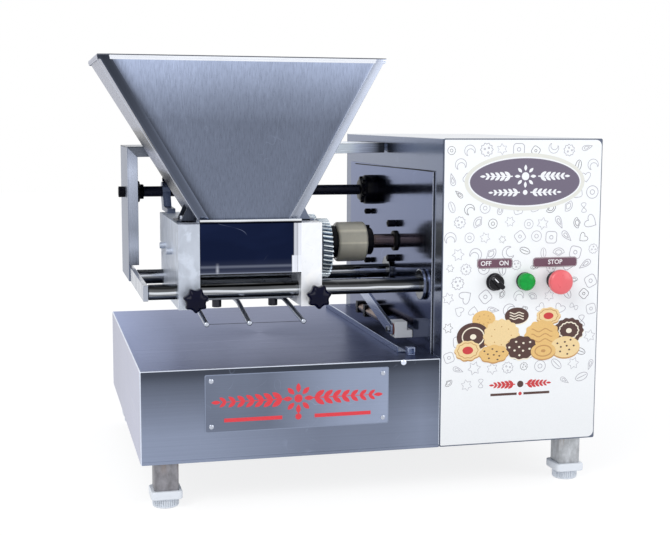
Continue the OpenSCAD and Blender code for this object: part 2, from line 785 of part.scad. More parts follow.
module wire_frame() color("#b0b3be") difference() {
    union() {
        rod_x(cross_d, prong_xs[0] - 10, slide_x0 - strap_t + cut, cross_y, prong_z + 2);
        for (x = prong_xs) prong(x);
        translate([slide_x0 - strap_t, 0, 0]) rotate([90, 0, 90]) linear_extrude(strap_t) polygon([
            [slide_y + 6, slide_z + 6], [slide_y + slide_d - 4, slide_z + 6],
            [cross_y + 8, prong_z - 8], [cross_y + 8, prong_z + 10], [cross_y - 14, prong_z + 10],
            [slide_y + 6, slide_z + 6 + strap_h]
        ]);
    }
    rod_x(wire_d, prong_xs[0] - prong_d, prong_xs[2] + prong_d, prong_tip_y, prong_tip_z, 24);
}

module cutting_wire() color("#d8dade")
    rod_x(wire_d, prong_xs[0] - prong_d / 2 - 1, prong_xs[2] + prong_d / 2 + 1, prong_tip_y, prong_tip_z, 24);

module slide_block() color("#e8e8ea") difference() {
    union() {
        box(slide_x0, slide_x0 + slide_w, slide_y, slide_y + slide_d, slide_z, slide_z + slide_h);
        box(slide_x0, slide_x0 + slide_w + ledge_w, slide_y, slide_y + slide_d, slide_z, slide_z + ledge_h);
    }
    rod_y(bar_d + 2 * run_gap, slide_x0 + slide_w / 2, slide_y + 5, slide_y + slide_d + cut, bar_level);
}

// The bar moves with the block and runs in two guides on the wall
bar_level = slide_z + slide_h / 2 + 1;
guide_ys = [slide_y + slide_d + wire_travel + 4, slide_y + slide_d + wire_travel + 56];
guide_w = 12;
bar_y1 = guide_ys[1] + guide_w + 6;

module guide_bar() color("#4e3a38")
    rod_y(bar_d, slide_x0 + slide_w / 2, slide_y + 5, bar_y1, bar_level);

module bar_guides() color("#26262c") difference() {
    for (y = guide_ys) box(slide_x0 + 3, wall_x, y, y + guide_w, bar_level - 11, bar_level + 11);
    rod_y(bar_d + 2 * run_gap, slide_x0 + slide_w / 2, guide_ys[0] - cut, bar_y1, bar_level);
}

// Rail and stop for the tray, on top of the base
rail_x = base_w - 54;
rail_w = 16;
rail_t = 2;
rail_h = 10;
rail_y0 = 62;
rail_y1 = base_d - 42;
stop_box = [13, 12, 13];

module tray_rail() color("#9a9eac") {
    box(rail_x, rail_x + rail_w, rail_y0, rail_y1, top_z, top_z + rail_t);
    box(rail_x, rail_x + rail_t, rail_y0, rail_y1, top_z, top_z + rail_h);
    translate([rail_x + 9, rail_y0 - 28, top_z]) difference() {
        cube(stop_box);
        translate([rail_t, -cut, rail_t])
            cube([stop_box[0] - 2 * rail_t, stop_box[1] - rail_t + cut, stop_box[2] - 2 * rail_t]);
    }
}

// Controls on the front panel
module control_collars() color("#20232a") {
    difference() {
        union() {
            rod_y(collar_d, selector_at, -4, 0, control_level);
            rod_y(collar_d, lamp_at, -5, 0, control_level);
            rod_y(collar_d, stop_at, -12, 0, control_level);
            for (x = [selector_at, lamp_at, stop_at]) {
                rod_y(panel_shank, x, 0, 40, control_level);
                rod_y(30, x, sheet, sheet + 5, control_level, 6);
            }
        }
        rod_y(control_stem + 2 * gap, selector_at, -5, 12, control_level);
        rod_y(control_stem, lamp_at, -6, 12, control_level);
        rod_y(stop_stem_d + 2 * run_gap, stop_at, -13, 30, control_level);
    }
}

control_stem = 16;
stop_stem_d = 14;
stop_head = 15;
stop_crown = 46;

module selector_knob() color("#111116") {
    rod_y(26, selector_at, -12, -4 - gap, control_level);
    rod_y(control_stem, selector_at, -12, 10, control_level);
    translate([selector_at, 0, control_level]) rotate([0, selector_turn, 0])
        box(-4, 4, -22, -11, -12.5, 12.5);
}

selector_turn = -45;

module lamp_lens() color("#1db43c") {
    rod_y(24, lamp_at, -13, -5, control_level);
    rod_y(control_stem, lamp_at, -13, 8, control_level);
    translate([lamp_at, -13, control_level]) rotate([90, 0, 0]) cylinder(d1 = 24, d2 = 16, h = 4);
}

module stop_stem() color("#2a2a30") {
    rod_y(stop_stem_d, stop_at, -stop_out + 8, 24, control_level);
}

module stop_button() color("#e0463c") difference() {
    intersection() {
        rod_y(stop_d, stop_at, -stop_out, -stop_out + stop_head, control_level);
        translate([stop_at, -stop_out + stop_crown, control_level]) sphere(r = stop_crown);
    }
    rod_y(stop_stem_d + 2 * run_gap, stop_at, -stop_out + 8 - gap, -stop_out + stop_head + cut, control_level);
}

label_t = 0.8;
label_z = control_level + 22;
label_h = 16;
switch_label = 61;
stop_label = 78;

module label_plates() color("#5b2f45") {
    box(selector_at - switch_label / 2, selector_at + switch_label / 2, -label_t, 0, label_z, label_z + label_h);
    box(stop_at - stop_label / 2, stop_at + stop_label / 2, -label_t, 0, label_z, label_z + label_h);
}

module cable_gland() color("#18181c") difference() {
    union() {
        rod_y(gland_d, gland_x, base_d - sheet - 8, base_d + gland_out, gland_z, 24);
        rod_y(corners(gland_nut), gland_x, base_d - gland_nut_w - sheet, base_d - sheet, gland_z, 6);
    }
    rod_y(gland_bore, gland_x, base_d - 20, base_d + gland_out + cut, gland_z, 24);
}

module place() translate(shift) children();

place() base_shell();
place() nameplate();
place() nameplate_screws();
place() cabinet_shell();
place() cabinet_front();
place() cabinet_back();
place() bearing_plate();
place() leg(0);  // leg_1
place() leg(1);  // leg_2
place() leg(2);  // leg_3
place() leg(3);  // leg_4
place() foot(0);  // foot_1
place() foot(1);  // foot_2
place() foot(2);  // foot_3
place() foot(3);  // foot_4
place() guide_rods();
place() rod_flanges();
place() tie_bar();
place() u_frame();
place() upper_shaft();
place() shaft_fixings();
place() wall_hub();
place() block_upper(block_x);  // block_l_upper
place() block_lower(block_x);  // block_l_lower
place() block_upper(right_x);  // block_r_upper
place() block_lower(right_x);  // block_r_lower
place() cover_front();
place() cover_rear();
place() die_block();
place() nozzles();
place() roller_front();
place() roller_rear();
place() gear_front();
place() gear_rear();
place() hopper();
place() hopper_bolts();
place() knob(block_x + knob_in);  // knob_l
place() knob(right_x + knob_in);  // knob_r
place() support_bracket();
place() clamp_knob();
place() hub_roller();
place() hub_drive();
place() coupling_sleeve();
place() drive_shaft();
place() shaft_seal();
place() wall_bolts();
place() gear_motor();
place() wire_frame();
place() cutting_wire();
place() slide_block();
place() guide_bar();
place() bar_guides();
place() tray_rail();
place() control_collars();
place() selector_knob();
place() lamp_lens();
place() stop_stem();
place() stop_button();
place() label_plates();
place() cable_gland();
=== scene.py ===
"""The looks of a countertop cookie depositor, built round its construction model."""
import json
import math
import random

import bmesh
import bpy
from bpy.props import FloatProperty, FloatVectorProperty, IntProperty, PointerProperty
from bpy.types import Operator, Panel, PropertyGroup
from mathutils import Matrix, Vector


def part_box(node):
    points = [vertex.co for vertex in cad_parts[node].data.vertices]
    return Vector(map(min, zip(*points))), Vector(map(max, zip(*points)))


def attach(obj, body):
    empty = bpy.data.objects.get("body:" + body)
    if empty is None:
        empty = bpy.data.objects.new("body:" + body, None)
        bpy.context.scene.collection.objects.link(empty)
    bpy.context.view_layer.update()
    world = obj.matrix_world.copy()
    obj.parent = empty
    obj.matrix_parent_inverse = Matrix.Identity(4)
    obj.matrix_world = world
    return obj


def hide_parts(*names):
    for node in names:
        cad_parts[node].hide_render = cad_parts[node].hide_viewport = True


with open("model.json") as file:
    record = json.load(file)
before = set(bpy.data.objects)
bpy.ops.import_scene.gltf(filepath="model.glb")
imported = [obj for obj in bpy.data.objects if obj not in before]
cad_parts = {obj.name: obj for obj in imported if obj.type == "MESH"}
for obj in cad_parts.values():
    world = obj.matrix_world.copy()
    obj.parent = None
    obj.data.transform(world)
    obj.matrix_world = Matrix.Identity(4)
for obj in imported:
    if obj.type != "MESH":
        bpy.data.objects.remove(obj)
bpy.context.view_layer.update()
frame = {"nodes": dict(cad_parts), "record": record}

bl_info = {
    "name": "Cookie depositor",
    "version": (1, 0, 0),
    "blender": (4, 5, 0),
    "location": "View3D > Sidebar > Depositor",
    "description": "Builds the finished look of a countertop cookie depositor",
    "category": "Object",
}

NODES = frame["nodes"]
RECORD = frame["record"]
BODY = {node: body for body, nodes in RECORD["behaviour"]["bodies"].items() for node in nodes}
MM = 0.001

# Machine frame: millimetres from the front left corner of the base, at floor level
CORNER = Vector((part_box("base_shell")[0].x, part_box("base_shell")[0].y, 0.0))
TO_ROW = Matrix.Translation(CORNER) @ Matrix.Scale(MM, 4)


def lo_row(metres):
    """A row X from metres right of the machine's left side."""
    return CORNER.x + metres


def span(node):
    """Lowest and highest corner of a node, in the machine frame."""
    back = TO_ROW.inverted()
    lo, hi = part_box(node)
    return back @ lo, back @ hi


def srgb(code):
    """Linear colour from a hex code."""
    out = []
    for i in (1, 3, 5):
        c = int(code[i:i + 2], 16) / 255
        out.append(c / 12.92 if c <= 0.04045 else ((c + 0.055) / 1.055) ** 2.4)
    return out


# Settings that a user would change

def colour(name, text, code):
    return FloatVectorProperty(name=name, description=text, subtype="COLOR", size=3, min=0, max=1,
                               default=srgb(code))


class DepositorColours(PropertyGroup):
    steel: colour("Sheet steel", "Brushed stainless sheet", "#8d97ae")
    steel_dark: colour("Shaded steel", "Darker end of the brushed sheet", "#5a6175")
    alloy: colour("Blocks", "Milled aluminium blocks", "#d6deec")
    chrome: colour("Rods", "Ground and polished rods", "#b9bfcc")
    # The cover's dark tone is a painted reflection of dark surroundings
    mirror: colour("Cover", "Polished front cover", "#141c36")
    black: colour("Black parts", "Knobs, hubs and bolts", "#0b0b12")
    nylon: colour("Nylon", "Coupling sleeve", "#d8d2be")
    white: colour("White sheet", "Printed sheet on the front panel", "#fbfdff")
    badge: colour("Badge", "Ground of the oval badge", "#6f667a")
    maroon: colour("Labels", "Switch labels", "#6b4458")
    red: colour("Stop button", "Stop button", "#ee666d")
    print_red: colour("Red print", "Red ornaments", "#e2303f")
    green: colour("Lamp", "Lamp lens", "#00ae42")


class DepositorSizes(PropertyGroup):
    edge: FloatProperty(name="Sheet edge", description="Rounding of folded sheet, in mm", default=1.6, min=0.4, max=4)
    block_edge: FloatProperty(name="Block edge", description="Rounding of milled blocks, in mm", default=0.9, min=0.2,
                              max=3)
    gear_teeth: IntProperty(name="Teeth", description="Teeth on each feed gear", default=38, min=20, max=60)
    helix: FloatProperty(name="Helix", description="Slant of the gear teeth, in degrees", default=9, min=0, max=30)
    foot_ribs: IntProperty(name="Foot ribs", description="Ribs round each foot", default=36, min=8, max=60)
    print_step: FloatProperty(name="Print step", description="Distance between printed outlines, in mm", default=29,
                              min=15, max=80)
    print_seed: IntProperty(name="Print seed", description="Seed of the printed outlines", default=7, min=0)


class DepositorStage(PropertyGroup):
    lens: FloatProperty(name="Lens", description="Focal length on a 36 mm sensor", default=65.265, min=20, max=200)
    yaw: FloatProperty(name="Yaw", description="Camera's turn to the right, in degrees", default=14.2136)
    pitch: FloatProperty(name="Pitch", description="Camera's tilt downwards, in degrees", default=6.9703)
    roll: FloatProperty(name="Roll", description="Camera's roll, in degrees", default=-0.2824)
    key: FloatProperty(name="Key light", description="Power of the key light, in watts", default=38, min=0)
    fill: FloatProperty(name="Fill light", description="Power of the fill light, in watts", default=14, min=0)
    world: FloatProperty(name="World", description="Strength of the light from all round", default=0.72, min=0)


def colours():
    return bpy.context.scene.depositor_colours


def sizes():
    return bpy.context.scene.depositor_sizes


def stage_settings():
    return bpy.context.scene.depositor_stage


# Shapes, in millimetres in the machine frame

def rounded(bm, width, segments=3, angle=35):
    """Rounds every edge of bm that is sharper than angle."""
    if width <= 0:
        return
    limit = math.radians(angle)
    bm.normal_update()
    edges = [e for e in bm.edges if e.is_manifold and e.calc_face_angle(0) > limit]
    bmesh.ops.bevel(bm, geom=edges, offset=width, segments=segments, profile=0.5, affect="EDGES",
                    clamp_overlap=True)


SIDES = {"front": (0, -1, 0), "top": (0, 0, 1), "left": (-1, 0, 0), "right": (1, 0, 0), "back": (0, 1, 0),
         "under": (0, 0, -1)}


class Shape:
    """A mesh in the making: each part is added with its own rounding, turn and material slot."""

    def __init__(self):
        self.bm = bmesh.new()

    def add(self, part, matrix=None, slot=0):
        if matrix is not None:
            bmesh.ops.transform(part, matrix=matrix, verts=part.verts)
        bmesh.ops.recalc_face_normals(part, faces=part.faces)
        if slot is not None:
            for face in part.faces:
                face.material_index = slot
        mesh = bpy.data.meshes.new("part")
        part.to_mesh(mesh)
        part.free()
        self.bm.from_mesh(mesh)
        bpy.data.meshes.remove(mesh)
        return self

    def box(self, lo, hi, edge=0.5, segments=2, slot=0, matrix=None):
        part = bmesh.new()
        lo, hi = Vector(lo), Vector(hi)
        bmesh.ops.create_cube(part, size=1, matrix=Matrix.Translation((lo + hi) / 2) @ Matrix.Diagonal((*(hi - lo), 1)))
        rounded(part, edge, segments)
        return self.add(part, matrix, slot)

    def prism(self, outline, depth, matrix, edge=0.5, segments=2, slot=0, angle=35):
        """An outline in the matrix's XY plane, raised by depth along its Z."""
        part = bmesh.new()
        base = [part.verts.new((x, y, 0)) for x, y in outline]
        face = part.faces.new(base)
        top = bmesh.ops.extrude_face_region(part, geom=[face])
        bmesh.ops.translate(part, vec=(0, 0, depth), verts=[v for v in top["geom"] if isinstance(v, bmesh.types.BMVert)])
        bmesh.ops.recalc_face_normals(part, faces=part.faces)
        rounded(part, edge, segments, angle)
        return self.add(part, matrix, slot)

    def lathe(self, profile, origin, axis, steps=64, slot=0, edge=0):
        """A profile of (distance along the axis, radius) turned round the axis from origin."""
        part = bmesh.new()
        rings = []
        for along, radius in profile:
            if radius < 1e-6:
                rings.append([part.verts.new((0, 0, along))])
                continue
            rings.append([part.verts.new((radius * math.cos(a), radius * math.sin(a), along))
                          for a in (2 * math.pi * i / steps for i in range(steps))])
        for low, high in zip(rings, rings[1:]):
            for i in range(steps):
                quad = [low[i % len(low)], low[(i + 1) % len(low)], high[(i + 1) % len(high)], high[i % len(high)]]
                unique = list(dict.fromkeys(quad))
                if len(unique) > 2:
                    part.faces.new(unique)
        closed = profile[0] == profile[-1]
        if closed:
            bmesh.ops.remove_doubles(part, verts=part.verts, dist=1e-5)
        else:
            for ring in (rings[0], rings[-1]):
                if len(ring) > 1:
                    part.faces.new(ring)
        bmesh.ops.recalc_face_normals(part, faces=part.faces)
        rounded(part, edge)
        return self.add(part, Matrix.Translation(origin) @ aim(axis), slot)

    def pipe(self, path, radius, sides=16, slot=0, cap=True):
        """A round bar that follows a path of points."""
        part = bmesh.new()
        points = [Vector(p) for p in path]
        rings = []
        side = None
        for i, p in enumerate(points):
            along = (points[min(i + 1, len(points) - 1)] - points[max(i - 1, 0)]).normalized()
            if side is None:
                side = along.orthogonal().normalized()
            side = (side - along * side.dot(along)).normalized()
            other = along.cross(side)
            r = radius[i] if isinstance(radius, (list, tuple)) else radius
            rings.append([part.verts.new(p + (side * math.cos(a) + other * math.sin(a)) * r)
                          for a in (2 * math.pi * k / sides for k in range(sides))])
        for low, high in zip(rings, rings[1:]):
            for k in range(sides):
                part.faces.new((low[k], low[(k + 1) % sides], high[(k + 1) % sides], high[k]))
        if cap:
            part.faces.new(rings[0])
            part.faces.new(rings[-1])
        return self.add(part, None, slot)

    def skin(self, layers, matrix, slot=0):
        """A skin over rings of points with the same count, closed at both ends."""
        part = bmesh.new()
        rings = [[part.verts.new(point) for point in layer] for layer in layers]
        count = len(rings[0])
        for low, high in zip(rings, rings[1:]):
            for i in range(count):
                part.faces.new((low[i], low[(i + 1) % count], high[(i + 1) % count], high[i]))
        part.faces.new(rings[0])
        part.faces.new(rings[-1])
        return self.add(part, matrix, slot)

    def loft(self, outline, layers, matrix, slot=0):
        """An outline drawn through layers of (height, scale)."""
        return self.skin([[(x * scale, y * scale, height) for x, y in outline] for height, scale in layers], matrix, slot)

    def sheet_box(self, lo, hi, edge, order, segments=3, fold=None):
        """A folded sheet box whose sides take the slots in order. A fold takes the nearer side's, or slot fold."""
        part = bmesh.new()
        lo, hi = Vector(lo), Vector(hi)
        bmesh.ops.create_cube(part, size=1, matrix=Matrix.Translation((lo + hi) / 2) @ Matrix.Diagonal((*(hi - lo), 1)))
        rounded(part, edge, segments)
        part.normal_update()
        for face in part.faces:
            best = max(order, key=lambda side: face.normal.dot(Vector(SIDES[side])))
            folded = fold is not None and max(abs(c) for c in face.normal) < 0.985
            face.material_index = fold if folded else order.index(best)
        return self.add(part, None, None)

    def object(self, name, materials, smooth=40):
        """The finished mesh as an object at the origin, in metres in the row frame."""
        mesh = bpy.data.meshes.new(name)
        bmesh.ops.transform(self.bm, matrix=TO_ROW, verts=self.bm.verts)
        self.bm.to_mesh(mesh)
        self.bm.free()
        for m in materials:
            mesh.materials.append(m)
        mesh.shade_smooth()
        mesh.set_sharp_from_angle(angle=math.radians(smooth))
        obj = bpy.data.objects.new(name, mesh)
        bpy.context.scene.collection.objects.link(obj)
        weighted = obj.modifiers.new("Weighted normals", "WEIGHTED_NORMAL")
        weighted.keep_sharp = True
        return obj


AXES = {
    "x": Matrix(((0, 0, 1, 0), (1, 0, 0, 0), (0, 1, 0, 0), (0, 0, 0, 1))),
    "y": Matrix(((0, 1, 0, 0), (0, 0, 1, 0), (1, 0, 0, 0), (0, 0, 0, 1))),
    "z": Matrix.Identity(4),
    "-x": Matrix(((0, 0, -1, 0), (0, 1, 0, 0), (1, 0, 0, 0), (0, 0, 0, 1))),
    "-y": Matrix(((1, 0, 0, 0), (0, 0, -1, 0), (0, 1, 0, 0), (0, 0, 0, 1))),
    "-z": Matrix(((0, 1, 0, 0), (1, 0, 0, 0), (0, 0, -1, 0), (0, 0, 0, 1))),
}


def aim(axis):
    """A turn that takes Z to the named axis. On x and y the outline's own axes become y, z and z, x."""
    return AXES[axis]


def hexagon(flats, turn=0):
    r = flats / 2 / math.cos(math.pi / 6)
    return [(r * math.cos(turn + math.pi * i / 3), r * math.sin(turn + math.pi * i / 3)) for i in range(6)]


def round_rect(width, height, radius, steps=5):
    """Outline of a rectangle with round corners, centred on zero."""
    out = []
    for k, (sx, sy) in enumerate(((1, 1), (-1, 1), (-1, -1), (1, -1))):
        for i in range(steps + 1):
            a = math.pi / 2 * (k + i / steps)
            out.append((sx * (width / 2 - radius) + radius * math.cos(a),
                        sy * (height / 2 - radius) + radius * math.sin(a)))
    return out


def ellipse(a, b, steps=72):
    return [(a * math.cos(2 * math.pi * i / steps), b * math.sin(2 * math.pi * i / steps)) for i in range(steps)]


def settle(obj, node, *others, stands_in=True):
    """A finished piece rides on its node's body and stands for it and the others."""
    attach(obj, BODY[node])
    if stands_in:
        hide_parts(node, *others)
    return obj


def copy_of(node, edge, segments=2, angle=35):
    """A copy of a node's mesh in the machine frame, merged, with its sharp edges rounded."""
    bm = bmesh.new()
    bm.from_mesh(NODES[node].data)
    bmesh.ops.transform(bm, matrix=TO_ROW.inverted(), verts=bm.verts)
    bmesh.ops.remove_doubles(bm, verts=bm.verts, dist=0.0005)
    bmesh.ops.dissolve_limit(bm, angle_limit=math.radians(1), verts=bm.verts, edges=bm.edges)
    rounded(bm, edge, segments, angle)
    return bm


def dress(node, name, material, edge=0.5, smooth=40):
    """A node whose shape is right, with rounded edges and its finish."""
    shape = Shape()
    shape.add(copy_of(node, edge))
    return settle(shape.object(name, [material], smooth), node)


# Materials

class Nodes:
    """A short way to write a material's tree."""

    def __init__(self, name):
        self.material = bpy.data.materials.new(name)
        self.material.use_nodes = True
        self.tree = self.material.node_tree
        self.shader = self.tree.nodes["Principled BSDF"]
        self.place = self.tree.nodes.new("ShaderNodeTexCoord").outputs["Object"]

    def node(self, kind, **values):
        made = self.tree.nodes.new(kind)
        for key, value in values.items():
            if hasattr(made, key):
                setattr(made, key, value)
            else:
                made.inputs[key].default_value = value
        return made

    def link(self, a, b):
        self.tree.links.new(a, b)

    def mapped(self, scale, turn=(0, 0, 0), move=(0, 0, 0)):
        m = self.node("ShaderNodeMapping")
        m.inputs["Scale"].default_value = scale
        m.inputs["Rotation"].default_value = turn
        m.inputs["Location"].default_value = move
        self.link(self.place, m.inputs["Vector"])
        return m.outputs["Vector"]

    def noise(self, scale=(1, 1, 1), size=1.0, detail=3.0, rough=0.5, distortion=0.0, turn=(0, 0, 0), move=(0, 0, 0)):
        n = self.node("ShaderNodeTexNoise")
        n.inputs["Scale"].default_value = size
        n.inputs["Detail"].default_value = detail
        n.inputs["Roughness"].default_value = rough
        n.inputs["Distortion"].default_value = distortion
        self.link(self.mapped(scale, turn, move), n.inputs["Vector"])
        return n.outputs["Fac"]

    def ramp(self, value, *stops):
        """Stops are (position, grey level or linear colour)."""
        r = self.node("ShaderNodeValToRGB")
        while len(r.color_ramp.elements) < len(stops):
            r.color_ramp.elements.new(0.5)
        for element, (position, level) in zip(r.color_ramp.elements, stops):
            element.position = position
            element.color = (level, level, level, 1) if isinstance(level, (int, float)) else (*level, 1)
        self.link(value, r.inputs["Fac"])
        return r.outputs["Color"]

    def mix(self, factor, a, b, kind="MIX"):
        """a and b are colours or outputs; factor is a number or an output."""
        m = self.node("ShaderNodeMix", data_type="RGBA", blend_type=kind)
        for key, value in ((0, factor), (6, a), (7, b)):
            if isinstance(value, bpy.types.NodeSocket):
                self.link(value, m.inputs[key])
            elif key == 0:
                m.inputs[0].default_value = value
            else:
                m.inputs[key].default_value = (*value, 1)
        return m.outputs[2]

    def maths(self, operation, a, b=0.5):
        m = self.node("ShaderNodeMath", operation=operation)
        for key, value in ((0, a), (1, b)):
            if isinstance(value, bpy.types.NodeSocket):
                self.link(value, m.inputs[key])
            else:
                m.inputs[key].default_value = value
        return m.outputs[0]

    def levels(self, value, low, high, start=0.0, end=1.0):
        m = self.node("ShaderNodeMapRange")
        self.link(value, m.inputs["Value"])
        for key, number in (("From Min", start), ("From Max", end), ("To Min", low), ("To Max", high)):
            m.inputs[key].default_value = number
        return m.outputs["Result"]

    def along(self, axis, start, end):
        """0 to 1 along a row axis, between two places in metres."""
        split = self.node("ShaderNodeSeparateXYZ")
        self.link(self.place, split.inputs[0])
        return self.levels(split.outputs["XYZ".index(axis.upper())], 0, 1, start, end)

    def beside(self, origin, normal, *stops):
        """Factors by the distance in metres from a plane: (distance, factor) stops."""
        away = self.node("ShaderNodeVectorMath", operation="SUBTRACT")
        self.link(self.place, away.inputs[0])
        away.inputs[1].default_value = origin
        dot = self.node("ShaderNodeVectorMath", operation="DOT_PRODUCT")
        self.link(away.outputs[0], dot.inputs[0])
        dot.inputs[1].default_value = normal
        first, last = stops[0][0], stops[-1][0]
        value = self.levels(dot.outputs["Value"], 0, 1, first, last)
        return self.ramp(value, *(((at - first) / (last - first), level) for at, level in stops))

    def radial(self, centre, axis="x"):
        """Distance in metres from a row line along the axis."""
        away = self.node("ShaderNodeVectorMath", operation="SUBTRACT")
        self.link(self.place, away.inputs[0])
        away.inputs[1].default_value = centre
        flat = self.node("ShaderNodeVectorMath", operation="MULTIPLY")
        self.link(away.outputs[0], flat.inputs[0])
        flat.inputs[1].default_value = [0 if a == axis else 1 for a in "xyz"]
        size = self.node("ShaderNodeVectorMath", operation="LENGTH")
        self.link(flat.outputs[0], size.inputs[0])
        return size.outputs["Value"]

    def bump(self, height, strength, distance=0.0005):
        b = self.node("ShaderNodeBump")
        b.inputs["Strength"].default_value = strength
        b.inputs["Distance"].default_value = distance
        self.link(height, b.inputs["Height"])
        self.link(b.outputs["Normal"], self.shader.inputs["Normal"])

    def set(self, **values):
        """Sets or links the shader's sockets; underscores stand for spaces."""
        for key, value in values.items():
            socket = self.shader.inputs[key.replace("_", " ")]
            if isinstance(value, bpy.types.NodeSocket):
                self.link(value, socket)
            elif hasattr(socket.default_value, "__len__") and len(value) == 3 and len(socket.default_value) == 4:
                socket.default_value = (*value, 1)
            else:
                socket.default_value = value
        return self.material


MADE = {}


def once(make):
    """A material is made once, under its own arguments."""
    def inner(*args, **kw):
        key = (make.__name__, args, tuple(sorted(kw.items())))
        if key not in MADE:
            MADE[key] = make(*args, **kw)
        return MADE[key]
    return inner


GRAIN = {"x": (4, 700, 700), "y": (700, 4, 700), "z": (700, 700, 4)}


def shade(base, factor):
    return tuple(max(0.0, min(1.0, c * factor)) for c in base)


@once
def brushed(name, tone, dark=1.0, grain="z", rough=0.3, painted_light=None, marks=0.0, smudge=0.12, sides=(), line=0.06,
            tooth=0.06, metal=1.0, sheer=(1.0, 1.0, 1.0)):
    """Brushed sheet. fade is (axis, start, end, factors or (place, factor) stops): painted reflection and painted shade
    along an axis. sides are slanted bands for Nodes.beside, more painted reflection and shade, and sheer is the tint of
    its reflection at a flat angle."""
    n = Nodes(name)
    base = shade(tone, dark)
    lines = n.noise(GRAIN[grain], 1, 4, 0.7)
    cloud = n.noise((9, 9, 9), 1, 3, 0.55, 0.4)
    colour_out = n.mix(n.levels(lines, 0.0, 1.0, 0.3, 0.7), shade(base, 1 - line), shade(base, 1 + line))
    colour_out = n.mix(n.levels(cloud, 0, smudge * 2, 0.35, 0.75), colour_out, shade(base, 0.78))
    # Painted reflections and painted shade, multiplied into the colour
    if painted_light:
        axis, start, end, *stops = painted_light
        if not isinstance(stops[0], tuple):
            stops = [(i / (len(stops) - 1), level) for i, level in enumerate(stops)]
        colour_out = n.mix(1.0, colour_out, n.ramp(n.along(axis, start, end), *stops), "MULTIPLY")
    for side in sides:
        colour_out = n.mix(1.0, colour_out, n.beside(*side), "MULTIPLY")
    if marks:
        arcs = scratch(n, marks)
        colour_out = n.mix(arcs, colour_out, shade(tone, 1.9))
    n.bump(lines, tooth, 0.0004)
    roughness = n.levels(lines, rough - 0.05, rough + 0.07, 0.3, 0.7)
    return n.set(Base_Color=colour_out, Metallic=metal, Roughness=roughness, Anisotropic=0.45, Specular_Tint=sheer,
                 Specular_IOR_Level=0.5 if metal > 0.9 else 0.15)


def scratch(n, amount, size=16, turn=(0.4, 0.9, 0.2), width=0.004, bend=1.2):
    """Thin curved lines: level lines of a soft noise, cut short by another."""
    soft = n.noise((1, 1, 1), size, 0 if bend < 1 else 1, 0.3, bend, turn)
    line = n.ramp(n.maths("ABSOLUTE", n.maths("SUBTRACT", soft, 0.5)), (0.0, 1.0), (width, 0.0))
    cut = n.ramp(n.noise((1, 1, 1), size * 1.7, 1, 0.3, 0, (0, 0.5, 1.1), (3, 1, 2)), (0.55, 0.0), (0.66, amount))
    return n.maths("MULTIPLY", line, cut)


@once
def polished(name, tone, rough=0.09, marks=0.3, wave=0.0):
    """Ground or polished metal with fine rings and a few marks."""
    n = Nodes(name)
    cloud = n.noise((25, 25, 25), 1, 3, 0.5)
    base = n.mix(n.levels(cloud, 0, 0.5, 0.4, 0.7), tone, shade(tone, 0.82))
    arcs = scratch(n, marks, 30)
    base = n.mix(arcs, base, shade(tone, 1.5))
    fine = n.noise((900, 60, 60), 1, 2, 0.6)
    height = n.maths("ADD", fine, n.maths("MULTIPLY", n.noise((14, 14, 14), 1, 2, 0.5), wave))
    n.bump(height, 0.05, 0.0004)
    return n.set(Base_Color=base, Metallic=1.0, Roughness=n.levels(cloud, rough, rough + 0.08, 0.35, 0.7))


@once
def reflection_banded(name, tone, axis, start, end, stops, rough=0.12, marks=0.3):
    """Polished metal whose tone runs in bands along an axis: painted reflections, like the dark and bright streaks that
    a ground rod reflects.
    """
    n = Nodes(name)
    wave = n.noise((12, 40, 40), 1, 2, 0.5)
    place = n.maths("ADD", n.along(axis, start, end), n.levels(wave, -0.05, 0.05, 0.3, 0.7))
    base = n.mix(1.0, n.ramp(place, *stops), tone, "MULTIPLY")
    base = n.mix(scratch(n, marks, 30), base, shade(tone, 1.4))
    n.bump(n.noise((900, 60, 60), 1, 2, 0.6), 0.04, 0.0004)
    return n.set(Base_Color=base, Metallic=1.0, Roughness=n.levels(wave, rough, rough + 0.08, 0.35, 0.7))


@once
def milled(name, tone, rough=0.34, stain=0.2):
    """Milled aluminium: satin, with faint cutter arcs, stains and bright nicks."""
    n = Nodes(name)
    cutter = n.noise((60, 60, 900), 1, 3, 0.6)
    cloud = n.noise((30, 30, 18), 1, 4, 0.6, 0.6)
    patch = n.noise((1, 1, 1), 34, 3, 0.5, 0.8, (0, 0, 0), (2, 5, 1))
    base = n.mix(n.levels(cloud, 0, stain, 0.45, 0.75), tone, shade(tone, 0.5))
    base = n.mix(n.levels(patch, 0, 0.7, 0.52, 0.66), base, shade(tone, 1.25))
    base = n.mix(scratch(n, 0.6, 34), base, shade(tone, 0.45))
    n.bump(n.maths("ADD", cutter, n.maths("MULTIPLY", cloud, 0.6)), 0.08, 0.0005)
    return n.set(Base_Color=base, Metallic=0.6, Roughness=n.levels(cloud, rough - 0.06, rough + 0.1, 0.3, 0.7))


@once
def plastic(name, tone, rough=0.32, coat=0.0, grain=0.05, vary=0.12, size=120):
    """Moulded plastic or nylon with a faint orange-peel skin and uneven tone."""
    n = Nodes(name)
    skin = n.noise((1, 1, 1), size, 3, 0.5)
    cloud = n.noise((1, 1, 1), 22, 3, 0.5)
    base = n.mix(n.levels(cloud, 0, vary * 2, 0.4, 0.7), tone, shade(tone, 0.7))
    n.bump(skin, grain, 0.0004)
    dark = max(tone) < 0.05
    return n.set(Base_Color=base, Roughness=n.levels(skin, rough - 0.04, rough + 0.06, 0.3, 0.7), Coat_Weight=coat,
                 Coat_Roughness=0.08, Specular_IOR_Level=0.12 if dark else 0.5)


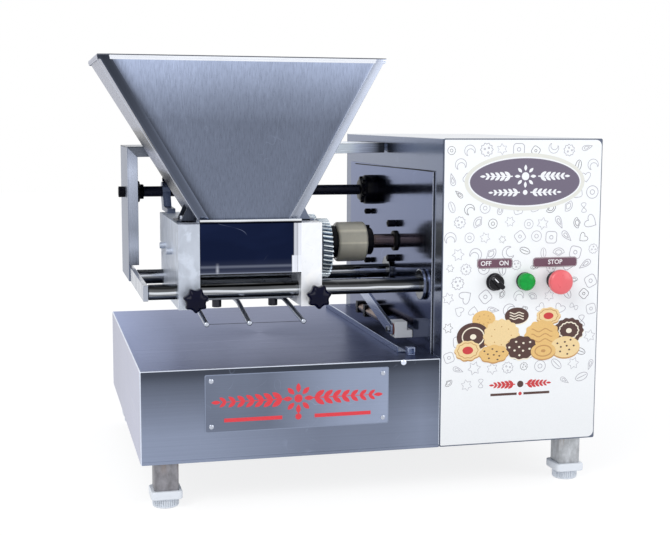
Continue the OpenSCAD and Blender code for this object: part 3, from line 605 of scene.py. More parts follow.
@once
def blackened(name, tone, rough=0.3):
    """Black oxide steel: dark, a little metallic, with worn spots."""
    n = Nodes(name)
    skin = n.noise((1, 1, 1), 260, 3, 0.6)
    worn = n.ramp(n.noise((1, 1, 1), 60, 4, 0.6), (0.6, 0.0), (0.78, 0.5))
    base = n.mix(worn, tone, shade(tone, 3.2))
    n.bump(skin, 0.08, 0.0004)
    return n.set(Base_Color=base, Metallic=0.1, Roughness=n.levels(skin, rough - 0.06, rough + 0.1, 0.3, 0.7),
                 Specular_IOR_Level=0.12)


@once
def worn_steel(name, tone, rust, rust_from, rust_to):
    """Weathered tube: mottled grey, with rust that runs down from where it is welded."""
    n = Nodes(name)
    mottle = n.noise((1, 1, 0.6), 90, 5, 0.65)
    streak = n.noise((60, 60, 9), 1, 4, 0.6, 0.8)
    base = n.mix(n.levels(mottle, 0, 1, 0.35, 0.7), shade(tone, 0.62), shade(tone, 1.15))
    fall = n.along("z", rust_from, rust_to)
    amount = n.maths("MULTIPLY", n.ramp(streak, (0.5, 0.0), (0.72, 0.85)), fall)
    base = n.mix(amount, base, rust)
    n.bump(mottle, 0.2, 0.0006)
    return n.set(Base_Color=base, Metallic=0.75, Roughness=n.levels(mottle, 0.38, 0.62, 0.3, 0.7))


@once
def printed(name, tone, rough=0.28, fleck=0.04, painted_light=None):
    """Printed vinyl: even colour with faint print flecks. fade is (start, end, stops) of factors along row Z, a painted
    shade.
    """
    n = Nodes(name)
    fine = n.noise((1, 1, 1), 420, 2, 0.5)
    soft = n.noise((1, 1, 1), 5, 2, 0.5)
    base = n.mix(n.levels(fine, 0, fleck, 0.4, 0.7), tone, shade(tone, 0.6))
    base = n.mix(n.levels(soft, 0, fleck * 1.5, 0.3, 0.7), base, shade(tone, 0.85))
    # Painted shade, multiplied into the colour
    if painted_light:
        start, end, *stops = painted_light
        base = n.mix(1.0, base, n.ramp(n.along("z", start, end), *stops), "MULTIPLY")
    n.bump(fine, 0.02, 0.0002)
    return n.set(Base_Color=base, Roughness=rough, Coat_Weight=0.15, Coat_Roughness=0.12)


@once
def lens(name, tone):
    """Clear coloured lens with moulded rings inside."""
    n = Nodes(name)
    ring = n.noise((1, 1, 1), 200, 2, 0.5)
    base = n.mix(n.levels(ring, 0, 0.5, 0.35, 0.65), tone, shade(tone, 0.6))
    n.bump(ring, 0.1, 0.0004)
    return n.set(Base_Color=base, Roughness=0.2, Transmission_Weight=0.1, IOR=1.49, Coat_Weight=0.1,
                 Coat_Roughness=0.05, Specular_IOR_Level=0.2)


def hue(name):
    return tuple(getattr(colours(), name))


# Geometry Nodes trees

class GeoTree:
    """A short way to write a Geometry Nodes tree that ends in Realize Instances and Set Material."""

    def __init__(self, name, **inputs):
        self.group = bpy.data.node_groups.new(name, "GeometryNodeTree")
        face = self.group.interface
        for label, kind in inputs.items():
            face.new_socket(name=label.replace("_", " "), in_out="INPUT", socket_type="NodeSocket" + kind)
        face.new_socket(name="Material", in_out="INPUT", socket_type="NodeSocketMaterial")
        face.new_socket(name="Geometry", in_out="OUTPUT", socket_type="NodeSocketGeometry")
        self.source = self.group.nodes.new("NodeGroupInput")

    def value(self, label):
        return self.source.outputs[label]

    def add(self, kind, inputs=None, **settings):
        node = self.group.nodes.new(kind)
        for key, setting in settings.items():
            setattr(node, key, setting)
        for key, value in (inputs or {}).items():
            if isinstance(value, bpy.types.NodeSocket):
                self.group.links.new(value, node.inputs[key])
            else:
                node.inputs[key].default_value = value
        return node

    def maths(self, operation, a, b=0.0):
        return self.add("ShaderNodeMath", {0: a, 1: b}, operation=operation).outputs[0]

    def close(self, instances):
        real = self.add("GeometryNodeRealizeInstances", {"Geometry": instances})
        dressed = self.add("GeometryNodeSetMaterial", {"Geometry": real.outputs[0], "Material": self.value("Material")})
        out = self.group.nodes.new("NodeGroupOutput")
        self.group.links.new(dressed.outputs[0], out.inputs["Geometry"])
        return self.group


def ring_tree():
    """Copies of a part set evenly round the local Z axis."""
    t = GeoTree("Parts in a ring", Part="Object", Count="Int", Radius="Float", Start="Float")
    points = t.add("GeometryNodePoints", {"Count": t.value("Count")})
    index = t.add("GeometryNodeInputIndex").outputs[0]
    turn = t.maths("MULTIPLY", t.maths("DIVIDE", index, t.value("Count")), 2 * math.pi)
    turn = t.maths("ADD", turn, t.value("Start"))
    x = t.maths("MULTIPLY", t.maths("COSINE", turn), t.value("Radius"))
    y = t.maths("MULTIPLY", t.maths("SINE", turn), t.value("Radius"))
    place = t.add("ShaderNodeCombineXYZ", {"X": x, "Y": y})
    rotation = t.add("ShaderNodeCombineXYZ", {"Z": turn})
    moved = t.add("GeometryNodeSetPosition", {"Geometry": points.outputs[0], "Position": place.outputs[0]})
    part = t.add("GeometryNodeObjectInfo", {"Object": t.value("Part")})
    set_on = t.add("GeometryNodeInstanceOnPoints", {"Points": moved.outputs[0], "Instance": part.outputs["Geometry"],
                                                    "Rotation": rotation.outputs[0]})
    return t.close(set_on.outputs[0])


def point_tree():
    """A copy of a part on each vertex of the object's mesh."""
    t = GeoTree("Parts on points", Seat="Geometry", Part="Object", Turn_step="Float")
    part = t.add("GeometryNodeObjectInfo", {"Object": t.value("Part")})
    index = t.add("GeometryNodeInputIndex").outputs[0]
    rotation = t.add("ShaderNodeCombineXYZ", {"Z": t.maths("MULTIPLY", index, t.value("Turn step"))})
    set_on = t.add("GeometryNodeInstanceOnPoints", {"Points": t.value("Seat"), "Instance": part.outputs["Geometry"],
                                                    "Rotation": rotation.outputs[0]})
    return t.close(set_on.outputs[0])


def print_tree():
    """Printed outlines in staggered rows: a random one of a collection on each point, turned at random."""
    t = GeoTree("Printed outlines", Seat="Geometry", Outlines="Collection", Seed="Int", Turn="Float", Smallest="Float",
                Largest="Float")
    pick = t.add("FunctionNodeRandomValue", {"Seed": t.value("Seed")}, data_type="INT")
    pick.inputs[4].default_value = 0
    pick.inputs[5].default_value = 97
    seed = t.maths("ADD", t.value("Seed"), 11)
    back = t.maths("MULTIPLY", t.value("Turn"), -1)
    turn = t.add("FunctionNodeRandomValue", {"Seed": seed, 2: back, 3: t.value("Turn")}, data_type="FLOAT")
    size = t.add("FunctionNodeRandomValue", {"Seed": t.maths("ADD", seed, 5), 2: t.value("Smallest"),
                                             3: t.value("Largest")}, data_type="FLOAT")
    rotation = t.add("ShaderNodeCombineXYZ", {"Z": turn.outputs[1]})
    group = t.add("GeometryNodeCollectionInfo", {"Collection": t.value("Outlines"), "Separate Children": True,
                                                 "Reset Children": True})
    set_on = t.add("GeometryNodeInstanceOnPoints", {"Points": t.value("Seat"), "Instance": group.outputs[0],
                                                    "Pick Instance": True, "Instance Index": pick.outputs[2],
                                                    "Rotation": rotation.outputs[0], "Scale": size.outputs[1]})
    return t.close(set_on.outputs[0])


TREES = {}


def grow(tree, carrier, material, **values):
    """Runs a tree on a carrier mesh and gives back the plain mesh."""
    if tree.__name__ not in TREES:
        TREES[tree.__name__] = tree()
    group = TREES[tree.__name__]
    holder = bpy.data.objects.new("holder", carrier)
    bpy.context.scene.collection.objects.link(holder)
    modifier = holder.modifiers.new("Grow", "NODES")
    values["Material"] = material
    modifier.node_group = group
    for item in group.interface.items_tree:
        key = item.name.replace(" ", "_")
        if item.in_out == "INPUT" and key in values:
            modifier[item.identifier] = float(values[key]) if item.socket_type == "NodeSocketFloat" else values[key]
    bpy.context.view_layer.update()
    graph = bpy.context.evaluated_depsgraph_get()
    mesh = bpy.data.meshes.new_from_object(holder.evaluated_get(graph))
    bpy.data.objects.remove(holder)
    return mesh


def helper(shape, name="part"):
    """A loose object that a tree copies; it is removed afterwards."""
    mesh = bpy.data.meshes.new(name)
    shape.bm.to_mesh(mesh)
    shape.bm.free()
    obj = bpy.data.objects.new(name, mesh)
    bpy.context.scene.collection.objects.link(obj)
    return obj


def ring_of(part, count, radius, matrix, material, start=0.0):
    """Mesh of count copies of a part round an axis, as a bmesh in the machine frame."""
    holder = helper(part)
    mesh = grow(ring_tree, bpy.data.meshes.new("none"), material, Part=holder, Count=count, Radius=radius, Start=start)
    bpy.data.objects.remove(holder)
    bm = bmesh.new()
    bm.from_mesh(mesh)
    bpy.data.meshes.remove(mesh)
    bmesh.ops.transform(bm, matrix=matrix, verts=bm.verts)
    return bm


def parts_on(part, spots, matrix, material, turn_step=0.0):
    """Mesh of a part on each spot, as a bmesh; the spots are in the matrix's own plane."""
    holder = helper(part)
    carrier = bpy.data.meshes.new("spots")
    carrier.from_pydata([tuple(s) for s in spots], [], [])
    mesh = grow(point_tree, carrier, material, Part=holder, Turn_step=turn_step)
    bpy.data.objects.remove(holder)
    bm = bmesh.new()
    bm.from_mesh(mesh)
    bpy.data.meshes.remove(mesh)
    bmesh.ops.transform(bm, matrix=matrix, verts=bm.verts)
    return bm


# Pieces

class DEPOSITOR_OT_base(Operator):
    """Brushed base box with folded edges and a lip under its front"""
    bl_idname = "depositor.base"
    bl_label = "Base box"

    def execute(self, context):
        lo, hi = span("base_shell")
        top, low = CORNER.z + hi.z * MM, CORNER.z + lo.z * MM
        steel = hue("steel")
        order = ["front", "top", "left", "back", "under", "right"]
        # Painted light: the front's bands along Z and X, darkest under the top edge, and the top's bands along X and Y
        # are painted reflections and painted shade; the side's lavender tone and its fade are a painted reflection; the
        # back and the underside are darker copies of the steel as painted shade
        finish = [
            brushed("Base front", steel, 0.78, "x", 0.34, ("z", low, top, (0, 1.15), (0.3, 1.1), (0.6, 0.78), (0.84, 0.5),
                                                           (0.95, 0.26), (1, 0.24)), 0.15, 0.12,
                    (((CORNER.x, 0, 0), (1, 0, 0), (0, 1.15), (0.1, 1.08), (0.28, 0.78), (0.40, 0.85), (0.45, 0.98),
                      (0.482, 0.85)),)),
            brushed("Base top", steel, 1.0, "x", 0.3, ("x", CORNER.x, CORNER.x + 0.5, (0, 1.25), (0.2, 0.64), (0.5, 0.36),
                                                      (1, 0.40)), 0.2, 0.06,
                    (((0, CORNER.y, 0), (0, 1, 0), (0, 0.78), (0.25, 0.95), (0.6, 1.1)),), 0.02, 0.015, 1.0,
                    (0.72, 0.75, 0.92)),
            brushed("Base side", (0.46, 0.475, 0.60), 1.0, "y", 0.32, ("y", CORNER.y, CORNER.y + 0.6, 1.06, 0.86), 0.1),
            brushed("Base back", steel, 0.8, "x", 0.36),
            brushed("Base under", steel, 0.5, "x", 0.45),
            # A bright painted highlight on every rounded fold and on the rivet head
            polished("Base folds", shade(hue("chrome"), 1.5), 0.2),
        ]
        shape = Shape()
        shape.sheet_box(lo, hi, sizes().edge, order[:5], 3, 5)
        shape.box((lo.x + 2, lo.y - 0.6, lo.z), (hi.x - 1, lo.y + 2, lo.z + 5), 0.5, 2, 0)
        shape.lathe([(0, 0), (0, 4.6), (1.0, 3.6), (1.6, 0)], (420, lo.y, hi.z - 4), "-y", 20, 5)
        settle(shape.object("base_body", finish), "base_shell")
        return {"FINISHED"}


def leaf(length, width, steps=7):
    """Outline of a pointed leaf from zero along X."""
    upper = [(length * i / steps, width / 2 * math.sin(math.pi * i / steps) ** 0.8) for i in range(1, steps)]
    return [(0, 0)] + upper + [(length, 0)] + [(x, -y) for x, y in reversed(upper)]


def moved(outline, x, y, turn=0.0, scale=1.0):
    c, s = math.cos(turn) * scale, math.sin(turn) * scale
    return [(x + c * px - s * py, y + s * px + c * py) for px, py in outline]


def sprig(shape, x, y, length, pairs, matrix, depth, slot, side=1, bend=0.25):
    """A stem with pairs of leaves; side is 1 to the right and -1 to the left."""
    points = []
    for i in range(pairs + 2):
        t = i / (pairs + 1)
        points.append((x + side * length * t, y + length * bend * math.sin(math.pi * t) * 0.4))
    for k, (a, b) in enumerate(zip(points, points[1:])):
        turn = math.atan2(b[1] - a[1], b[0] - a[0])
        shape.prism(moved([(0, -0.5), (math.dist(a, b), -0.5), (math.dist(a, b), 0.5), (0, 0.5)], *a, turn),
                    depth * (0.5 + 0.1 * (k % 2)), matrix, 0, 1, slot)
    size = 1.25 * length / (pairs + 1)
    for i in range(1, pairs + 1):
        heading = 0 if side > 0 else math.pi
        for tilt in (0.75, -0.75):
            shape.prism(moved(leaf(size * 0.95, size * 0.44), *points[i], heading + tilt * side),
                        depth * (1 + 0.1 * (i % 3) + 0.4 * (tilt > 0)), matrix, 0, 1, slot)
    shape.prism(moved(leaf(size, size * 0.42), *points[-1], 0 if side > 0 else math.pi), depth * 0.8, matrix, 0, 1, slot)


def ear(shape, x, y, length, pairs, size, matrix, depth, slot, side):
    """An ear of grain that points outwards: a stem with big leaves that shrink towards its tip."""
    shape.prism([(x, y - 1), (x + side * length * 0.9, y - 0.5), (x + side * length * 0.9, y + 0.5), (x, y + 1)][::side],
                depth * 0.5, matrix, 0, 1, slot)
    for i in range(pairs):
        t = (i + 0.4) / (pairs + 0.6)
        grow_by = size * (1.35 - 0.55 * t)
        for tilt in (0.62, -0.62):
            heading = tilt if side > 0 else math.pi - tilt
            shape.prism(moved(leaf(grow_by, grow_by * 0.42), x + side * length * t, y, heading),
                        depth * (1 + 0.1 * (i % 3) + 0.4 * (tilt > 0)), matrix, 0, 1, slot)
    shape.prism(moved(leaf(size, size * 0.4), x + side * length * 0.92, y, 0 if side > 0 else math.pi), depth * 0.8,
                matrix, 0, 1, slot)


class DEPOSITOR_OT_nameplate(Operator):
    """Bevelled plate on the base with a printed ornament and four round screws"""
    bl_idname = "depositor.nameplate"
    bl_label = "Front plate"

    def execute(self, context):
        lo, hi = span("nameplate")
        mid = (lo + hi) / 2
        width, height = hi.x - lo.x, hi.z - lo.z
        left = CORNER.x + lo.x * MM
        front = Matrix.Translation((mid.x, hi.y, mid.z)) @ aim("-y")
        # The plate's tone brightens towards its right end: a painted reflection
        plate = brushed("Front plate", hue("steel"), 0.66, "x", 0.34, ("x", left, left + width * MM, 0.95, 0.9, 1.5, 1.9), 0.2,
                        0.3)
        rim = brushed("Front plate rim", hue("steel"), 0.95, "x", 0.3)
        red = printed("Front plate print", hue("print_red"))
        shape = Shape()
        shape.prism(round_rect(width, height, 3), 0.7, front, 0.25, 2, 1)
        shape.prism(round_rect(width - 3, height - 3, 2.5), 1.0, front, 0.3, 2, 0)
        settle(shape.object("nameplate_sheet", [plate, rim]), "nameplate")
        art = Shape()
        face = front @ Matrix.Translation((0, 0, 1.0))
        for side in (1, -1):
            ear(art, side * 20, 2, 112, 7, 15, face, 0.12, 0, side)
            art.prism([(side * 26, -30), (side * 118, -30), (side * 118, -24), (side * 26, -24)][::side], 0.12, face, 0,
                      1, 0)
        for k in range(8):
            art.prism(moved(leaf(15, 7.5), 9.5 * math.cos(math.pi * k / 4), 2 + 9.5 * math.sin(math.pi * k / 4),
                            math.pi * k / 4), 0.12 + 0.03 * (k % 2), face, 0, 1, 0)
        art.prism(moved(ellipse(6.5, 6.5, 32), 0, 2), 0.2, face, 0, 1, 0)
        art.prism(moved(ellipse(5, 5, 24), 0, -27), 0.12, face, 0, 1, 0)
        settle(art.object("nameplate_print", [red]), "nameplate", stands_in=False)
        screw = Shape()
        screw.lathe([(0, 0), (0, 4.0), (1.2, 3.7), (2.0, 2.4), (2.0, 1.7), (1.5, 0)], (0, 0, 0), "z", 24)
        spots = [(sx * (width / 2 - 10), sy * (height / 2 - 10), 1.0) for sx in (-1, 1) for sy in (-1, 1)]
        bright = polished("Plate screws", hue("chrome"), 0.16)
        shape = Shape()
        shape.add(parts_on(screw, spots, front, bright))
        settle(shape.object("nameplate_screw_heads", [bright]), "nameplate_screws")
        return {"FINISHED"}


class DEPOSITOR_OT_legs(Operator):
    """Four weathered square tubes with round corners"""
    bl_idname = "depositor.legs"
    bl_label = "Legs"

    def execute(self, context):
        for i in range(1, 5):
            lo, hi = span(f"leg_{i}")
            tone = (0.30, 0.295, 0.32) if i % 2 else (0.52, 0.54, 0.57)
            metal = worn_steel(f"Leg {i} tube", tone, (0.23, 0.145, 0.085), CORNER.z + (hi.z - 20) * MM,
                               CORNER.z + (hi.z + 6) * MM)
            shape = Shape()
            place = Matrix.Translation(((lo.x + hi.x) / 2, (lo.y + hi.y) / 2, lo.z)) @ aim("z")
            shape.prism(round_rect(hi.x - lo.x, hi.y - lo.y, 4.5, 6), hi.z - lo.z, place, 0.4, 2)
            bead = [(a * (hi.x - lo.x + 1.6) / 2, b * (hi.y - lo.y + 1.6) / 2) for a, b in
                    [(x / 20, y / 20) for x, y in round_rect(40, 40, 6, 6)]]
            shape.prism(bead, 1.6, Matrix.Translation(((lo.x + hi.x) / 2, (lo.y + hi.y) / 2, hi.z - 1.7)), 0.6, 2)
            settle(shape.object(f"leg_tube_{i}", [metal]), f"leg_{i}")
        return {"FINISHED"}


class DEPOSITOR_OT_feet(Operator):
    """Four white plastic feet with a square collar and a ribbed pad"""
    bl_idname = "depositor.feet"
    bl_label = "Feet"

    def execute(self, context):
        white = plastic("Foot plastic", (0.80, 0.84, 0.90), 0.34, 0.1, 0.05, 0.1)
        for i in range(1, 5):
            lo, hi = span(f"foot_{i}")
            x, y = (lo.x + hi.x) / 2, (lo.y + hi.y) / 2
            collar, radius = hi.x - lo.x, 21.0
            shape = Shape()
            shape.lathe([(0, 0), (0, radius - 2.5), (1.2, radius - 0.8), (2.5, radius - 0.8), (3.2, radius - 2.2),
                         (13.2, radius - 2.2), (13.8, radius - 0.6), (15.2, radius - 0.6), (15.2, 0)], (x, y, 0), "z", 64)
            top = Matrix.Translation((x, y, 15))
            shape.loft(round_rect(collar, collar, 6, 6), [(0, 0.95), (1.2, 1.0), (11, 1.0), (12.4, 0.975), (13, 0.93)],
                       top)
            rib = Shape()
            rib.box((-1.0, -0.9, 2.5), (1.1, 0.9, 13.8), 0.45, 2)
            shape.add(ring_of(rib, sizes().foot_ribs, radius - 1.2, Matrix.Translation((x, y, 0)), white))
            settle(shape.object(f"foot_pad_{i}", [white]), f"foot_{i}")
        return {"FINISHED"}


class DEPOSITOR_OT_cabinet(Operator):
    """Brushed cabinet with rounded folds, its bolted bearing plate and its back"""
    bl_idname = "depositor.cabinet"
    bl_label = "Cabinet"

    def execute(self, context):
        lo, hi = span("cabinet_shell")
        steel = hue("steel")
        low, top = CORNER.z + 0.219, CORNER.z + hi.z * MM
        order = ["left", "top", "right", "back", "under"]
        # The wall and the bearing plate take a dark bluish tone, a painted reflection, lighter towards the top; the top
        # is a lighter tone as painted light, and the rear and underside darker copies of the steel as painted shade
        cool = (0.225, 0.28, 0.44)
        finish = [
            brushed("Cabinet wall", cool, 0.52, "y", 0.17, ("z", low, top, 0.8, 0.9, 1.2), 0.2),
            brushed("Cabinet top", (0.74, 0.77, 0.82), 1.0, "y", 0.3),
            brushed("Cabinet side", steel, 0.95, "z", 0.34),
            brushed("Cabinet rear", steel, 0.8, "z", 0.36),
            brushed("Cabinet under", steel, 0.5, "y", 0.45),
        ]
        shape = Shape()
        shape.sheet_box(lo, hi, sizes().edge, order)
        settle(shape.object("cabinet_body", finish), "cabinet_shell")
        lo, hi = span("bearing_plate")
        plate = brushed("Bearing plate", cool, 0.52, "z", 0.12, ("z", low, top, 0.5, 0.85, 1.2), 0.3, sheer=(0.86, 0.88, 1.0))
        # The plate's front edge: bright on its left half as a painted highlight and dark on its right half as painted
        # shade
        edge = reflection_banded("Bearing plate edge", (0.9, 0.93, 1.0), "x", lo_row(0.479), lo_row(0.482),
                      ((0, 0.95), (0.45, 0.9), (0.6, 0.1), (1, 0.05)), 0.2)
        shape = Shape()
        shape.sheet_box(lo, hi, 0.3, ["left", "front", "top", "back"])
        y0, y1 = lo.y + 2, hi.y - 34
        # A black sheet along and above the plate's top edge: a painted shadow
        slot_shadow_outline = [(y0, hi.z + 0.6), (y1, hi.z - 4.4), (y1, hi.z - 2.2), (y0, hi.z + 1.8)]
        shape.prism(slot_shadow_outline, 0.4, Matrix.Translation((lo.x - 0.2, 0, 0)) @ aim("x"), 0, 1, 4)
        black = plastic("Slot shadow", (0.006, 0.006, 0.008), 0.5)
        settle(shape.object("bearing_plate_sheet", [plate, edge, plate, plate, black]), "bearing_plate")
        dress("cabinet_back", "cabinet_back_sheet", finish[3], 0.3)
        return {"FINISHED"}


def strip(points, width, closed=True):
    """A flat line of even width through points, as left and right rails."""
    count = len(points)
    left, right = [], []
    for i, (x, y) in enumerate(points):
        a = points[(i - 1) % count] if closed or i > 0 else points[i]
        b = points[(i + 1) % count] if closed or i < count - 1 else points[i]
        dx, dy = b[0] - a[0], b[1] - a[1]
        size = math.hypot(dx, dy) or 1
        nx, ny = -dy / size * width / 2, dx / size * width / 2
        left.append((x + nx, y + ny))
        right.append((x - nx, y - ny))
    return left, right


def draw(shape, points, width, depth, matrix, slot=0, closed=True):
    """A raised printed line."""
    left, right = strip(points, width, closed)
    part = bmesh.new()
    levels = [[part.verts.new((x, y, z)) for x, y in rail] for z in (0, depth) for rail in (left, right)]
    lower_l, lower_r, upper_l, upper_r = levels
    count = len(points)
    for i in range(count if closed else count - 1):
        j = (i + 1) % count
        for a, b in ((upper_l, upper_r), (upper_r, lower_r), (lower_r, lower_l), (lower_l, upper_l)):
            part.faces.new((a[i], b[i], b[j], a[j]))
    if not closed:
        for i in (0, count - 1):
            part.faces.new((lower_l[i], lower_r[i], upper_r[i], upper_l[i]))
    return shape.add(part, matrix, slot)


def motifs():
    """Outlines of biscuits and fruit of the scene's own design, each as (points, closed) lines about 20 mm across."""
    def ring(r, n=20, x=0, y=0):
        return [(x + r * math.cos(2 * math.pi * i / n), y + r * math.sin(2 * math.pi * i / n)) for i in range(n)]

    def wavy(r, wave, lobes, n=40):
        return [((r + wave * math.cos(lobes * a)) * math.cos(a), (r + wave * math.cos(lobes * a)) * math.sin(a))
                for a in (2 * math.pi * i / n for i in range(n))]

    heart = [(8.6 * math.sin(a) ** 3, 7.2 * math.cos(a) - 2.9 * math.cos(2 * a) - 1.2 * math.cos(3 * a) + 1.2)
             for a in (2 * math.pi * i / 30 for i in range(30))]
    moon = [(9 * math.cos(a), 9 * math.sin(a)) for a in (0.9 + 4.5 * i / 17 for i in range(18))]
    moon += [(3.4 + 6.4 * math.cos(a), 6.4 * math.sin(a)) for a in (5.15 - 4.0 * i / 13 for i in range(14))]
    drop = [(5.4 * math.sin(a) * math.sin(a / 2) ** 1.4, 9 * math.cos(a)) for a in
            (2 * math.pi * i / 26 for i in range(26))]
    slice_ = [(9.5 * math.cos(a), 9.5 * math.sin(a) - 4) for a in (0.35 + 2.45 * i / 12 for i in range(13))] + [(0, -6)]
    square = round_rect(15, 15, 4, 4)
    star = [((9 if i % 2 else 5.2) * math.cos(math.pi * i / 6), (9 if i % 2 else 5.2) * math.sin(math.pi * i / 6))
            for i in range(12)]
    twist = [(8 * math.sin(a), 4.2 * math.sin(2 * a)) for a in (2 * math.pi * i / 32 for i in range(32))]
    return [
        [(ring(8.5), True), (ring(3.2, 12), True)],
        [(wavy(8, 0.9, 10), True), (ring(1.1, 8, -3, 2), True), (ring(1.1, 8, 3, 3), True), (ring(1.1, 8, 0, -3), True)],
        [(heart, True)],
        [(moon, True)],
        [(drop, True), (moved(drop, 0, -1, 0, 0.5), True)],
        [(slice_, True), (moved(slice_, 0, -0.5, 0, 0.6), True)],
        [(square, True), (ring(2.4, 10), True)],
        [(star, True)],
        [(twist, True)],
        [(ellipse(9, 5, 24), True), ([(-7, 0), (7, 0)], False)],
    ]


def clear_of(x, z, zones, room):
    """True where a printed outline at x, z keeps clear of every zone (x0, x1, z0, z1)."""
    return all(x < a - room or x > b + room or z < c - room or z > d + room for a, b, c, d in zones)


class DEPOSITOR_OT_front_panel(Operator):
    """White printed sheet on the cabinet's front, with scattered outlines, an oval badge and pictures of biscuits"""
    bl_idname = "depositor.front_panel"
    bl_label = "Front panel"

    def execute(self, context):
        lo, hi = span("cabinet_front")
        mid = (lo + hi) / 2
        width, height = hi.x - lo.x, hi.z - lo.z
        edge = brushed("Panel edge", hue("steel"), 0.5, "z", 0.3)
        # The white print darkens towards its bottom: painted shade
        white = printed("White print", hue("white"), 0.26, 0.05, (0.072, 0.572, (0, 0.91), (0.35, 0.97), (0.6, 1)))
        front = Matrix.Translation((mid.x, hi.y, mid.z)) @ aim("-y")
        shape = Shape()
        shape.prism(round_rect(width, height, 2.5, 4), hi.y - lo.y, front, 0.4, 2, 0)
        outline = round_corners(width - 3.2, height - 4, {"tr": 10, "br": 10, "tl": 2, "bl": 2})
        shape.prism(outline, 0.25, Matrix.Translation((0, -(hi.y - lo.y), 0)) @ front, 0.08, 1, 1)
        settle(shape.object("front_sheet", [edge, white]), "cabinet_front")
        self.outlines(lo, hi)
        self.badge(lo)
        self.biscuits(lo)
        return {"FINISHED"}

    def outlines(self, lo, hi):
        """Grey outlines in staggered rows round the badge, the controls and the pictures."""
        face = Matrix.Translation((0, lo.y - 0.25, 0)) @ aim("-y")
        zones = [(540, 703, 474, 531), (540, 700, 330, 350), (522, 720, 226, 286), (566, 676, 130, 186)]
        step = sizes().print_step
        rng = random.Random(sizes().print_seed)
        spots = []
        row = 0
        z = hi.z - 17
        while z > 158:
            x = lo.x + 14 + (row % 2) * step / 2
            while x < hi.x - 12:
                px, pz = x + rng.uniform(-3, 3), z + rng.uniform(-3, 3)
                if clear_of(px, pz, zones, 3):
                    spots.append((px, pz, 0))
                x += step
            z -= step * 0.82
            row += 1
        group = bpy.data.collections.new("Outlines")
        loose = []
        for lines in motifs():
            art = Shape()
            for points, closed in lines:
                draw(art, points, 0.85, 0.08, None, 0, closed)
            part = helper(art, "outline")
            bpy.context.scene.collection.objects.unlink(part)
            group.objects.link(part)
            loose.append(part)
        inks = [printed("Grey outline ink", (0.42, 0.41, 0.46)), printed("Dark outline ink", (0.10, 0.09, 0.11))]
        shape = Shape()
        for k, (ink, chosen) in enumerate(((inks[0], [p for i, p in enumerate(spots) if i % 5]),
                                           (inks[1], spots[::5]))):
            carrier = bpy.data.meshes.new("spots")
            carrier.from_pydata(chosen, [], [])
            mesh = grow(print_tree, carrier, ink, Outlines=group, Seed=sizes().print_seed + k, Turn=3.0,
                        Smallest=0.9 - 0.2 * k, Largest=1.3 - 0.25 * k)
            bm = bmesh.new()
            bm.from_mesh(mesh)
            bpy.data.meshes.remove(mesh)
            shape.add(bm, face, k)
        for part in loose:
            bpy.data.objects.remove(part)
        bpy.data.collections.remove(group)
        settle(shape.object("panel_outlines", inks), "cabinet_front", stands_in=False)

    def badge(self, lo):
        """Oval badge with a pale ring and a leafy ornament."""
        face = Matrix.Translation((621.5, lo.y - 0.25, 502.5)) @ aim("-y")
        cream = printed("Badge ring", (0.80, 0.80, 0.74))
        violet = printed("Badge ground", hue("badge"), 0.24, 0.08)
        white = printed("Badge ornament", (0.93, 0.94, 0.97))
        shape = Shape()
        shape.prism(ellipse(104, 46.5), 0.15, face, 0, 1, 0)
        shape.prism(ellipse(97.5, 40.5), 0.22, face, 0, 1, 2)
        shape.prism(ellipse(95, 38), 0.29, face, 0, 1, 1)
        ground = face @ Matrix.Translation((0, 0, 0.29))
        shape.prism(moved(ellipse(6.5, 6.5, 28), 0, 9), 0.12, ground, 0, 1, 2)
        for i in range(8):
            shape.prism(moved(leaf(10, 5), 8.6 * math.cos(math.pi * i / 4), 9 + 8.6 * math.sin(math.pi * i / 4),
                              math.pi * i / 4), 0.07, ground, 0, 1, 2)
        for side in (1, -1):
            ear(shape, side * 22, 9, 50, 5, 10, ground, 0.07, 2, side)
            ear(shape, side * 9, -17, 50, 5, 8.5, ground, 0.07, 2, side)
        shape.prism(moved(ellipse(4, 4, 20), 0, -17), 0.07, ground, 0, 1, 2)
        settle(shape.object("oval_badge", [cream, violet, white]), "cabinet_front", stands_in=False)

    def biscuits(self, lo):
        """A loose heap of plain biscuits, and a small ornament under it."""
        face = Matrix.Translation((0, lo.y - 0.25, 0)) @ aim("-y")
        inks = [printed("Golden biscuit ink", (0.87, 0.56, 0.20), 0.3, 0.25),
                printed("Biscuit rim ink", (0.60, 0.31, 0.10), 0.3, 0.2),
                printed("Cocoa ink", (0.075, 0.026, 0.020), 0.3, 0.1), printed("Cream ink", (0.94, 0.86, 0.70), 0.3, 0.1),
                printed("Berry ink", (0.62, 0.035, 0.04), 0.3, 0.1), printed("Pale biscuit ink", (0.93, 0.70, 0.36), 0.3, 0.2)]
        golden, brown, cocoa, cream, berry, pale = range(6)
        shape = Shape()
        heap = ((555, 280, 19, 14, golden, "plain", 0), (668, 282, 21, 14, pale, "jam", 9), (612, 284, 20, 13, cocoa, "wave", 0),
                (705, 256, 26, 21, cocoa, "ring", 14), (537, 252, 27, 22, cocoa, "ring", 0), (657, 250, 30, 25, golden, "wave", 12),
                (586, 252, 31, 27, pale, "plain", 16), (699, 229, 25, 17, pale, "chips", 0), (528, 230, 22, 16, pale, "jam", 10),
                (621, 231, 27, 19, cocoa, "chips", 11), (660, 224, 21, 13, golden, "ring", 0), (573, 223, 25, 14, golden, "chips", 8))
        for k, (x, z, w, h, ink, kind, lobes) in enumerate(heap):
            depth = 0.1 + 0.06 * k

            def rim(scale, drop=0.0):
                return [(x + w * scale * (1 + 0.045 * math.cos(lobes * a)) * math.cos(a),
                         z - drop + h * scale * (1 + 0.045 * math.cos(lobes * a)) * math.sin(a))
                        for a in (2 * math.pi * i / 64 for i in range(64))]

